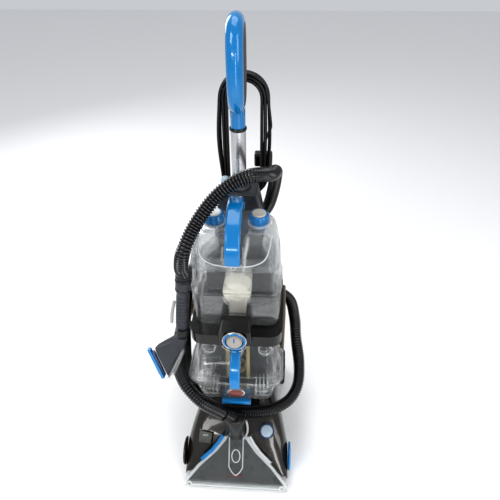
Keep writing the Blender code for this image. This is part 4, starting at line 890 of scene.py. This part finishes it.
def build_hood_fittings():
    """The ring round the foot button, the plain marks on the hood, and the mark on the release pedal."""
    low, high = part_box("foot_button")
    out = Vector((0.1039, -0.624, 0.7745)).normalized()
    place = (low + high) / 2
    hit, _ = on_surface("foot_button", place + out * 0.05, -out)
    bm = bmesh.new()
    base = hit - out * 0.0062
    add_turned(bm, [(0.0172, -0.002), (0.0172, 0.0030), (0.0180, 0.0038), (0.0198, 0.0036),
                    (0.0210, 0.0022), (0.0214, -0.002), (0.0172, -0.002)], base, out, 56)
    piece(bm, "button_ring", "dark_navy", "base", (), 40)
    bm = bmesh.new()
    for i, (y, half) in enumerate(((-0.196, 0.0125), (-0.201, 0.0085))):
        add_mark(bm, "base_hood", (0.086 - i * 0.003, y), half)
    piece(bm, "hood_marks", "white_mark", "base", (), 60)
    bm = bmesh.new()
    add_mark(bm, "release_pedal", (-0.087, -0.1585), 0.0075)
    piece(bm, "pedal_mark", "white_mark", "release_pedal", (), 60)


def add_mark(bm, node, middle, half):
    """A short plain printed bar that follows a surface."""
    line = []
    for i in range(9):
        x = middle[0] - half + 2 * half * i / 8
        place, normal = on_surface(node, at(x, middle[1], 0.30), (0, 0, -1))
        line.append(place + normal * 0.0001)
    add_tube(bm, evenly(line, 0.002), 0.0008, 6)


# ---------------------------------------------------------------- upright fittings
def build_dial_fittings():
    """The dial's blue ring, its pointer, and the bezel's light rim and arc marks."""
    low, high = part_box("mode_dial")
    front = low.y
    middle = Vector(((low.x + high.x) / 2, front, (low.z + high.z) / 2))
    out = Vector((0, -1, 0))
    bm = bmesh.new()
    add_turned(bm, [(0.0212, -0.006), (0.0212, -0.0025), (0.0222, -0.0012), (0.0248, -0.0012),
                    (0.0262, -0.0030), (0.0262, -0.006), (0.0212, -0.006)],
               middle - out * 0.004, out, 64)
    piece(bm, "dial_ring", "glossy_blue", "upright", (), 40)
    bm = bmesh.new()
    add_turned(bm, [(0.0262, -0.006), (0.0262, -0.0028), (0.0276, -0.0022), (0.0288, -0.0032),
                    (0.0288, -0.006), (0.0262, -0.006)], middle - out * 0.004, out, 64)
    piece(bm, "dial_bezel", "silver_trim", "upright", (), 40)
    bm = bmesh.new()
    add_block(bm, (middle.x - 0.0016, front - 0.0010, middle.z + 0.004),
              (middle.x + 0.0016, front + 0.0012, middle.z + 0.0165), 0.0005, 2)
    piece(bm, "dial_pointer", "glossy_blue", "mode_dial", (), 40)
    bm = bmesh.new()
    for radius, start, end in ((0.0300, 200, 250), (0.0300, 290, 340), (0.0300, 258, 282)):
        arc = [middle + Vector((radius * math.cos(math.radians(a)), 0.0018,
                                radius * math.sin(math.radians(a))))
               for a in range(start, end + 1, 5)]
        add_tube(bm, evenly(arc, 0.002), 0.0005, 6)
    piece(bm, "bezel_marks", "white_mark", "upright", (), 60)


def build_pole_fittings():
    """The collars at the pole's head and foot."""
    bm = bmesh.new()
    pole = at(0, POLE_Y, 0)
    add_turned(bm, [(0.0158, -0.0030), (0.0180, -0.0030), (0.0188, -0.0015), (0.0188, 0.0020),
                    (0.0178, 0.0034), (0.0158, 0.0034)], pole + Vector((0, 0, 0.8940)),
               (0, 0, 1), 56)
    piece(bm, "pole_seam_ring", "black_plastic", "upright", (), 40)
    bm = bmesh.new()
    add_turned(bm, [(0.0166, 0.0), (0.0270, 0.0), (0.0262, 0.0060), (0.0226, 0.0090),
                    (0.0200, 0.0100), (0.0168, 0.0100)], pole + Vector((0, 0, 0.7500)),
               (0, 0, 1), 56)
    piece(bm, "pole_socket_ring", "slate_plastic", "upright", (), 40)


def build_back_fittings():
    """Louvres, screws and a blank rating plate on the back covers."""
    low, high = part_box("lower_back_cover")
    face = high.y
    bm = bmesh.new()
    for i in range(11):
        z = low.z + 0.050 + i * 0.0105
        add_block(bm, (at(-0.052, 0, 0).x, face - 0.0012, z), (at(0.052, 0, 0).x, face + 0.0016, z + 0.0052),
                  0.0012, 2, Matrix.Rotation(math.radians(-14), 3, "X"))
    piece(bm, "back_louvres", "slate_plastic", "upright", (), 40)
    bm = bmesh.new()
    for node, inset, top_share in (("lower_back_cover", 0.010, 1.0), ("spine_back_cover", 0.010, 0.42)):
        a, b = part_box(node)
        middle, half = (a.x + b.x) / 2, (b.x - a.x) / 2 - inset
        for z, share in ((a.z + inset, 1.0), (b.z - inset, top_share)):
            for x in (middle - half * share, middle + half * share):
                add_screw(bm, Vector((x, b.y - 0.0002, z)), (0, 1, 0), 0.0035)
    piece(bm, "back_screws", "steel", "upright", (), 30)
    bm = bmesh.new()
    add_block(bm, (at(-0.032, 0, 0).x, face - 0.0004, high.z - 0.060),
              (at(0.032, 0, 0).x, face + 0.0006, high.z - 0.026), 0.0003, 2)
    piece(bm, "blank_plate", "silver_trim", "upright", (), 40)


# ---------------------------------------------------------------- tank fittings
LOBE_LIP = ((-0.080, 0.716), (-0.070, 0.694), (-0.050, 0.678), (-0.026, 0.671), (0.0, 0.669),
            (0.026, 0.671), (0.050, 0.678), (0.070, 0.694), (0.080, 0.716))      # X and Z
LOBE_NUB = ((-0.006, 0.668), (0.0, 0.660), (0.006, 0.668))


def build_cap(node, ring_finish):
    """A turned knob with finger grooves on a blue collar and a white flange."""
    low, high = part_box(node)
    middle = (low + high) / 2
    radius, height = (high.x - low.x) / 2, high.z - low.z
    foot = Vector((middle.x, middle.y, low.z))
    bm = bmesh.new()
    r = radius * 0.74
    add_turned(bm, [(0.0, height * 0.55), (r, height * 0.55), (r, height * 0.93),
                    (r - 0.0012, height), (r - 0.0050, height), (r - 0.0062, height - 0.0010),
                    (0.0, height - 0.0012)], foot, (0, 0, 1), 60)
    piece(bm, node + "_knob", NODE_SLOT[node], node, (node,), 40)
    bm = bmesh.new()
    top = height * 0.91
    add_turned(bm, [(0.0, 0.0032), (radius - 0.0006, 0.0032), (radius - 0.0006, top - 0.0020),
                    (radius - 0.0022, top), (r + 0.0012, top), (r + 0.0006, top - 0.0020),
                    (0.0, top - 0.0030), (0.0, 0.0032)], foot, (0, 0, 1), 60)
    for i in range(30):
        angle = math.tau * i / 30
        out = Vector((math.cos(angle), math.sin(angle), 0))
        made = add_block(bm, (-0.0008, -0.0008, height * 0.25), (0.0007, 0.0008, height * 0.82),
                         0.0004, 1)
        bmesh.ops.transform(bm, matrix=Matrix.Translation(foot + out * (radius - 0.0007))
                            @ Matrix.Rotation(angle, 4, "Z"), verts=made)
    piece(bm, node + "_ring", ring_finish, node, (), 40)
    bm = bmesh.new()
    add_turned(bm, [(0.0, 0.0), (radius + 0.0030, 0.0), (radius + 0.0034, 0.0014),
                    (radius + 0.0020, 0.0030), (0.0, 0.0030), (0.0, 0.0)], foot, (0, 0, 1), 60)
    piece(bm, node + "_flange", "milky_rib", node, (), 40)


def build_clean_tank_fittings():
    """The tank's handle socket, its tubes, its seams and its moulded ribs."""
    bm = bmesh.new()
    socket = [(-0.0215, -0.0960, 0.7190), (-0.0225, -0.1010, 0.6900), (-0.0180, -0.1020, 0.6700),
              (0.0, -0.1020, 0.6640), (0.0180, -0.1020, 0.6700), (0.0225, -0.1010, 0.6900),
              (0.0215, -0.0960, 0.7190)]
    add_tube(bm, smooth_path([at(x, y + 0.008, z) for x, y, z in socket], 0.004), 0.0024, 10)
    for z, front, back, half, radius in ((0.655, -0.0922, 0.055, 0.0966, 0.030),
                                         (0.5735, -0.0755, 0.055, 0.1050, 0.028)):
        add_loop_bead(bm, z, front, back, half, radius, 0.0016)
    piece(bm, "clean_tank_beads", "clear_plastic", "clean_tank", (), 60)
    bm = bmesh.new()
    for line in (LOBE_LIP, LOBE_NUB):
        laid = []
        for x, z in line:
            spot, out = on_surface("clean_tank", at(x, -0.30, z), (0, 1, 0))
            laid.append(spot + out * 0.0004)
        add_tube(bm, smooth_path(laid, 0.004), 0.0014, 8)
    piece(bm, "lobe_lip", "frosted_clear", "clean_tank", (), 60)
    bm = bmesh.new()
    for x, top in ((-0.012, 0.655), (0.013, 0.668)):
        add_tube(bm, smooth_path([at(x, 0.005, 0.560), at(x * 1.1, 0.006, 0.600),
                                  at(x * 1.6, 0.010, 0.640), at(x * 2.0, 0.014, top)], 0.004),
                 0.0032, 12)
    piece(bm, "valve_tubes", "milky_rib", "clean_tank", (), 60)
    low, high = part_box("tank_valve")
    front = Vector(((low.x + high.x) / 2, low.y, at(0, 0, 0.5428).z))
    bm = bmesh.new()
    add_turned(bm, [(0.0, 0.0026), (0.006, 0.0030), (0.010, 0.0012), (0.018, 0.0012),
                    (0.020, 0.0030), (0.026, 0.0030), (0.029, 0.0010), (0.0325, 0.0006),
                    (0.0330, -0.002)], front, (0, -1, 0), 60)
    for i in range(8):
        angle = math.tau * i / 8
        made = add_block(bm, (0.010, -0.0010, 0.0), (0.019, 0.0010, 0.0026), 0.0006, 1)
        turn = Matrix.Rotation(math.radians(90), 4, "X") @ Matrix.Rotation(angle, 4, "Z")
        bmesh.ops.transform(bm, matrix=Matrix.Translation(front) @ turn, verts=made)
    piece(bm, "valve_face", "cream_plastic", "clean_tank", (), 35)


def add_loop_bead(bm, z, front, back, half, radius, thick):
    """A raised bead right round a tank at one height."""
    line = []
    for cx, cy, start in ((half - radius, back - radius, 0), (-half + radius, back - radius, 90),
                          (-half + radius, front + radius, 180), (half - radius, front + radius, 270)):
        for i in range(9):
            a = math.radians(start + 90 * i / 8)
            line.append(at(cx + radius * math.cos(a), cy + radius * math.sin(a), z))
    line.append(line[0])
    add_tube(bm, evenly(line, 0.006), thick, 8)


def build_dirty_tank_fittings():
    """The tank's double rim, its inner ribs, its stained float column and its blank badge."""
    bm = bmesh.new()
    for z, front, half in ((0.3440, -0.1508, 0.1168), (0.3540, -0.1385, 0.1112)):
        add_loop_bead(bm, z, front, -0.018, half, 0.030, 0.0022)
    add_loop_bead(bm, 0.2620, -0.1338, -0.018, 0.0938, 0.026, 0.0016)
    piece(bm, "dirty_tank_rims", "clear_plastic", "dirty_tank", (), 60)
    bm = bmesh.new()
    for side in (-1, 1):
        for i in range(4):
            x = side * (0.050 + i * 0.0095)
            add_block(bm, at(x - 0.0011, -0.1240 + i * 0.004, 0.268),
                      at(x + 0.0011, -0.1000 + i * 0.004, 0.306), 0.0008, 1)
        add_block(bm, at(side * 0.0635 - 0.018, -0.116, 0.2650),
                  at(side * 0.0635 + 0.018, -0.106, 0.2690), 0.001, 1)
        add_turned(bm, [(0.0150, 0.0), (0.0166, 0.0), (0.0166, 0.004), (0.0150, 0.004),
                        (0.0150, 0.0)], at(side * 0.070, -0.078, 0.392), (0, -1, 0.2), 36)
    piece(bm, "tank_ribs", "milky_rib", "dirty_tank", (), 35)
    bm = bmesh.new()
    for x, y, top in ((-0.026, -0.062, 0.440), (0.026, -0.062, 0.440), (0.0, -0.036, 0.444)):
        add_turned(bm, [(0.0, 0.0), (0.0052, 0.0), (0.0046, 0.02), (0.0046, top - 0.262),
                        (0.0, top - 0.262)], at(x, y, 0.256), (0, 0, 1), 20)
    add_turned(bm, [(0.0200, 0.0), (0.0216, 0.0), (0.0216, 0.005), (0.0200, 0.005), (0.0200, 0.0)],
               at(0, -0.062, 0.432), (0, 0, 1), 40)
    add_turned(bm, [(0.0200, 0.0), (0.0216, 0.0), (0.0216, 0.005), (0.0200, 0.005), (0.0200, 0.0)],
               at(0, -0.062, 0.300), (0, 0, 1), 40)
    piece(bm, "float_cage", "aged_column", "dirty_tank", (), 35)
    place, _ = on_surface("dirty_tank", at(0, -0.30, 0.289), (0, 1, 0))
    normal = Vector((0, -0.97, 0.25)).normalized()
    turn = Vector((0, 0, 1)).rotation_difference(normal).to_matrix().to_4x4()
    for name, finish, wide, tall, low_h, high_h in (
            ("badge_rim", "silver_trim", 0.0225, 0.0125, -0.001, 0.0012),
            ("badge_face", "badge_red", 0.0200, 0.0103, 0.0, 0.0021)):
        bm = bmesh.new()
        made = add_turned(bm, [(0.0, low_h), (1.0, low_h), (1.0, high_h - 0.0006),
                               (0.93, high_h), (0.0, high_h + 0.0004)], (0, 0, 0), (0, 0, 1), 56)
        matrix = Matrix.Translation(place) @ turn @ Matrix.Diagonal((wide, tall, 1.0, 1.0))
        bmesh.ops.transform(bm, matrix=matrix, verts=made)
        piece(bm, name, finish, "dirty_tank", (), 40)


# ---------------------------------------------------------------- hand tool fittings
def build_tool_brush():
    """The bristle strip as a back bar with rows of tufts."""
    src = frame["nodes"]["tool_brush_strip"]
    points = [v.co.copy() for v in src.data.vertices]
    middle = sum(points, Vector()) / len(points)
    far = max(points, key=lambda p: (p - middle).length)
    near = max(points, key=lambda p: (p - far).length)
    along = (far - near).normalized()
    skin("tool_brush_strip", "glossy_blue", 0.0008)
    low_side = Vector((-1, 0, 0)) - along * along.dot(Vector((-1, 0, 0)))
    out = low_side.normalized()
    length = (far - near).length - 0.012
    bm = bmesh.new()
    count = 26
    for i in range(count):
        place = middle + along * (length * ((i + 0.5) / count - 0.5)) + out * 0.0048
        made = bmesh.ops.create_cone(bm, cap_ends=True, segments=6, radius1=0.0013,
                                     radius2=0.0009, depth=0.0050)["verts"]
        turn = Vector((0, 0, 1)).rotation_difference(out).to_matrix().to_4x4()
        bmesh.ops.transform(bm, matrix=Matrix.Translation(place) @ turn, verts=made)
    piece(bm, "tool_bristles", "glossy_blue", "hand_tool", (), 40)
    bm = bmesh.new()
    ends = [middle + along * (length * share) - out * 0.0072 for share in (-0.5, 0.0, 0.5)]
    add_tube(bm, smooth_path(ends, 0.01), 0.0042, 12)
    piece(bm, "bristle_holder", "dark_navy", "hand_tool", (), 60)


def build_wand_fittings():
    """The wand's cuff rings and the ribs round its grip."""
    top, low = at(-0.1160, -0.0680, 0.6120), at(-0.1310, -0.0900, 0.4480)
    down = (low - top).normalized()
    bm = bmesh.new()
    for distance, radius in ((-0.004, 0.0182), (0.006, 0.0190), (0.030, 0.0186)):
        add_turned(bm, [(0.0150, -0.0022), (radius - 0.0006, -0.0022), (radius, -0.0014),
                        (radius, 0.0014), (radius - 0.0006, 0.0022), (0.0150, 0.0022)],
                   top + down * distance, down, 44)
    piece(bm, "wand_cuff_rings", "black_plastic", "upright", (), 40)
    bm = bmesh.new()
    for i in range(9):
        add_turned(bm, [(0.0146, -0.0012), (0.0158, -0.0007), (0.0158, 0.0007), (0.0146, 0.0012)],
                   top + down * (0.052 + i * 0.0095), down, 40)
    piece(bm, "wand_grip_ribs", "slate_plastic", "upright", (), 40)
    return bpy.data.objects["wand_cuff_rings"]


# ---------------------------------------------------------------- stage
def look(azimuth, pitch, roll):
    """The camera's turn from its azimuth round the machine, its pitch down and its roll."""
    a, p, r = (math.radians(v) for v in (azimuth, pitch, roll))
    back = Vector((math.sin(a) * math.cos(p), -math.cos(a) * math.cos(p), math.sin(p)))
    right = Vector((math.cos(a), math.sin(a), 0.0))
    up = back.cross(right)
    across = right * math.cos(r) + up * math.sin(r)
    over = up * math.cos(r) - right * math.sin(r)
    return Matrix((across, over, back)).transposed()


def add_softbox(name, place, target, size, power, colour=(1.0, 1.0, 1.0)):
    data = bpy.data.lights.new(name, "AREA")
    data.shape = "RECTANGLE"
    data.size, data.size_y = size
    data.energy = power
    data.color = colour
    lamp = bpy.data.objects.new(name, data)
    bpy.context.scene.collection.objects.link(lamp)
    lamp.location = place
    lamp.rotation_euler = (Vector(target) - Vector(place)).to_track_quat("-Z", "Y").to_euler()


def build_stage(sizes):
    """The camera, the floor, the soft studio lights and the pale surroundings."""
    scene = bpy.context.scene
    data = bpy.data.cameras.new("camera")
    data.sensor_width = 36.0
    data.lens = sizes.lens
    data.clip_start, data.clip_end = 0.01, 60.0
    camera = bpy.data.objects.new("camera", data)
    scene.collection.objects.link(camera)
    camera.matrix_world = (Matrix.Translation(at(0.0865, -0.827, 1.298))
                           @ look(3.93, 38.3, -0.58).to_4x4())
    scene.camera = camera
    scene.view_settings.view_transform = "Standard"
    scene.view_settings.look = "High Contrast"
    scene.view_settings.exposure = 0.18
    world = bpy.data.worlds.new("studio")
    world.use_nodes = True
    world.node_tree.nodes["Background"].inputs["Color"].default_value = (0.93, 0.95, 1.0, 1.0)
    world.node_tree.nodes["Background"].inputs["Strength"].default_value = sizes.room_light
    scene.world = world
    material = bpy.data.materials.new("pale_floor")
    material.use_nodes = True
    shader = material.node_tree.nodes["Principled BSDF"]
    shader.inputs["Base Color"].default_value = (0.90, 0.90, 0.89, 1.0)
    shader.inputs["Roughness"].default_value = 0.8
    bm = bmesh.new()
    bmesh.ops.create_grid(bm, x_segments=1, y_segments=1, size=6.0)
    mesh = bpy.data.meshes.new("floor")
    bm.to_mesh(mesh)
    bm.free()
    mesh.materials.append(material)
    floor = bpy.data.objects.new("floor", mesh)
    scene.collection.objects.link(floor)
    aim = at(0.0, 0.0, 0.50)
    power = sizes.light_power
    add_softbox("key", (-1.5, -1.9, 2.3), aim, (1.3, 1.3), power * 1.0)
    add_softbox("fill", (1.9, -1.3, 1.4), aim, (0.9, 1.8), power * 0.6)
    add_softbox("top", (0.1, 0.3, 2.7), aim, (1.6, 1.6), power * 0.7)
    add_softbox("rim", (-1.2, 1.6, 1.6), aim, (0.8, 1.6), power * 0.55)
    add_softbox("front_strip", (0.75, -1.9, 0.55), at(0.05, -0.1, 0.2), (0.22, 1.1), power * 0.22)
    add_softbox("low_strip", (-0.5, -1.7, 1.0), at(0.0, -0.15, 0.25), (0.9, 0.10), power * 0.16)


# ---------------------------------------------------------------- the add-on
class HoseSizes(bpy.types.PropertyGroup):
    hose_diameter: bpy.props.FloatProperty(
        name="Diameter", description="Outside diameter of the stretch hose", default=0.0320,
        min=0.01, subtype="DISTANCE", unit="LENGTH")
    rib_pitch: bpy.props.FloatProperty(
        name="Rib pitch", description="Distance from one rib of the hose to the next",
        default=0.0066, min=0.002, subtype="DISTANCE", unit="LENGTH")
    rib_depth: bpy.props.FloatProperty(
        name="Rib depth", description="Depth of the grooves between the ribs", default=0.0034,
        min=0.0, subtype="DISTANCE", unit="LENGTH")


class CordSizes(bpy.types.PropertyGroup):
    cord_diameter: bpy.props.FloatProperty(
        name="Diameter", description="Outside diameter of the mains cord", default=0.0070,
        min=0.003, subtype="DISTANCE", unit="LENGTH")
    cord_length: bpy.props.FloatProperty(
        name="Length", description="Real length of the mains cord", default=6.0, min=0.5,
        subtype="DISTANCE", unit="LENGTH")


class FinishColours(bpy.types.PropertyGroup):
    blue: bpy.props.FloatVectorProperty(
        name="Blue", description="Colour of the glossy blue mouldings", subtype="COLOR", size=3,
        min=0.0, max=1.0, default=(0.0, 0.19, 0.45))
    bronze: bpy.props.FloatVectorProperty(
        name="Bronze", description="Colour of the glossy hood", subtype="COLOR", size=3,
        min=0.0, max=1.0, default=(0.020, 0.018, 0.014))
    clear_tint: bpy.props.FloatVectorProperty(
        name="Clear tint", description="Tint of the clear tanks and nozzle", subtype="COLOR",
        size=3, min=0.0, max=1.0, default=(0.95, 0.97, 0.97))
    clear_roughness: bpy.props.FloatProperty(
        name="Clear roughness", description="Roughness of the clear mouldings", default=0.008,
        min=0.0, max=1.0)


class StageSizes(bpy.types.PropertyGroup):
    lens: bpy.props.FloatProperty(
        name="Lens", description="Focal length of the camera in millimetres", default=33.12,
        min=10.0)
    light_power: bpy.props.FloatProperty(
        name="Light", description="Power of the main softbox in watts", default=19.0, min=0.0)
    room_light: bpy.props.FloatProperty(
        name="Room light", description="Strength of the even light all round", default=0.42,
        min=0.0)


class CLEANER_OT_stage(bpy.types.Operator):
    """Make the camera, the floor and the soft lights"""
    bl_idname = "cleaner.stage"
    bl_label = "Stage"

    def execute(self, context):
        build_stage(context.scene.cleaner_stage)
        return {"FINISHED"}


class CLEANER_OT_finishes(bpy.types.Operator):
    """Make every material of the machine"""
    bl_idname = "cleaner.finishes"
    bl_label = "Finishes"

    def execute(self, context):
        make_finishes(context.scene.cleaner_finish)
        for node, obj in frame["nodes"].items():
            obj.data.materials.clear()
            obj.data.materials.append(bpy.data.materials[NODE_SLOT[node]])
        for plain in [m for m in bpy.data.materials if m.name.endswith("_plain") and not m.users]:
            bpy.data.materials.remove(plain)
        return {"FINISHED"}


class CLEANER_OT_tool(bpy.types.Operator):
    """Make the wand, its trigger, and the hand tool with its brush strip"""
    bl_idname = "cleaner.tool"
    bl_label = "Wand and hand tool"

    def execute(self, context):
        build_skins("tool")
        build_wand_fittings()
        build_tool_brush()
        return {"FINISHED"}


class CLEANER_OT_hose(bpy.types.Operator):
    """Make the ribbed stretch hose that ends in the wand and hand tool"""
    bl_idname = "cleaner.hose"
    bl_label = "Stretch hose"

    def execute(self, context):
        sizes = context.scene.cleaner_hose
        hose, path = build_stretch_hose(sizes)
        return {"FINISHED"}


class CLEANER_OT_cord(bpy.types.Operator):
    """Make the wound mains cord with its strain relief and plug"""
    bl_idname = "cleaner.cord"
    bl_label = "Mains cord"

    def execute(self, context):
        ends = [build_strain_relief(), *build_plug()]
        build_mains_cord(context.scene.cleaner_cord)
        return {"FINISHED"}


class CLEANER_OT_base(bpy.types.Operator):
    """Make the base's mouldings, nozzle fittings, wheels and brush"""
    bl_idname = "cleaner.base"
    bl_label = "Base"

    def execute(self, context):
        build_skins("base")
        build_nozzle_fittings()
        build_hood_fittings()
        build_wheel("left_wheel")
        build_wheel("right_wheel")
        build_brush()
        return {"FINISHED"}


class CLEANER_OT_upright(bpy.types.Operator):
    """Make the upright's mouldings, dial, collars, louvres and screws"""
    bl_idname = "cleaner.upright"
    bl_label = "Upright"

    def execute(self, context):
        build_skins("upright")
        build_dial_fittings()
        build_pole_fittings()
        build_back_fittings()
        return {"FINISHED"}


class CLEANER_OT_handle(bpy.types.Operator):
    """Make the pole, the looped handle and its trigger"""
    bl_idname = "cleaner.handle"
    bl_label = "Handle"

    def execute(self, context):
        build_skins("handle")
        return {"FINISHED"}


class CLEANER_OT_tanks(bpy.types.Operator):
    """Make the clear tanks with their caps, valve, float cage, rims and badge"""
    bl_idname = "cleaner.tanks"
    bl_label = "Tanks"

    def execute(self, context):
        build_skins("tanks")
        build_cap("water_cap", "glossy_blue")
        build_cap("detergent_cap", "glossy_blue")
        build_clean_tank_fittings()
        build_dirty_tank_fittings()
        return {"FINISHED"}


STEPS = ("stage", "finishes", "tool", "hose", "cord", "base", "upright", "handle", "tanks")


class CLEANER_PT_panel(bpy.types.Panel):
    """Every step of the carpet cleaner, in order"""
    bl_idname = "CLEANER_PT_panel"
    bl_label = "Carpet Cleaner"
    bl_space_type = "VIEW_3D"
    bl_region_type = "UI"
    bl_category = "Carpet Cleaner"

    def draw(self, context):
        layout = self.layout
        for step in STEPS:
            layout.operator(f"cleaner.{step}")
        for group in (context.scene.cleaner_hose, context.scene.cleaner_cord,
                      context.scene.cleaner_finish, context.scene.cleaner_stage):
            box = layout.box()
            for label in group.__annotations__:
                box.prop(group, label)


CLASSES = (HoseSizes, CordSizes, FinishColours, StageSizes, CLEANER_OT_stage,
           CLEANER_OT_finishes, CLEANER_OT_tool, CLEANER_OT_hose, CLEANER_OT_cord,
           CLEANER_OT_base, CLEANER_OT_upright, CLEANER_OT_handle, CLEANER_OT_tanks,
           CLEANER_PT_panel)


def register():
    for cls in CLASSES:
        bpy.utils.register_class(cls)
    bpy.types.Scene.cleaner_hose = bpy.props.PointerProperty(type=HoseSizes)
    bpy.types.Scene.cleaner_cord = bpy.props.PointerProperty(type=CordSizes)
    bpy.types.Scene.cleaner_finish = bpy.props.PointerProperty(type=FinishColours)
    bpy.types.Scene.cleaner_stage = bpy.props.PointerProperty(type=StageSizes)


def unregister():
    del bpy.types.Scene.cleaner_stage
    del bpy.types.Scene.cleaner_finish
    del bpy.types.Scene.cleaner_cord
    del bpy.types.Scene.cleaner_hose
    for cls in reversed(CLASSES):
        bpy.utils.unregister_class(cls)


def main():
    register()
    for step in STEPS:
        getattr(bpy.ops.cleaner, step)()


if __name__ == "__main__":
    main()
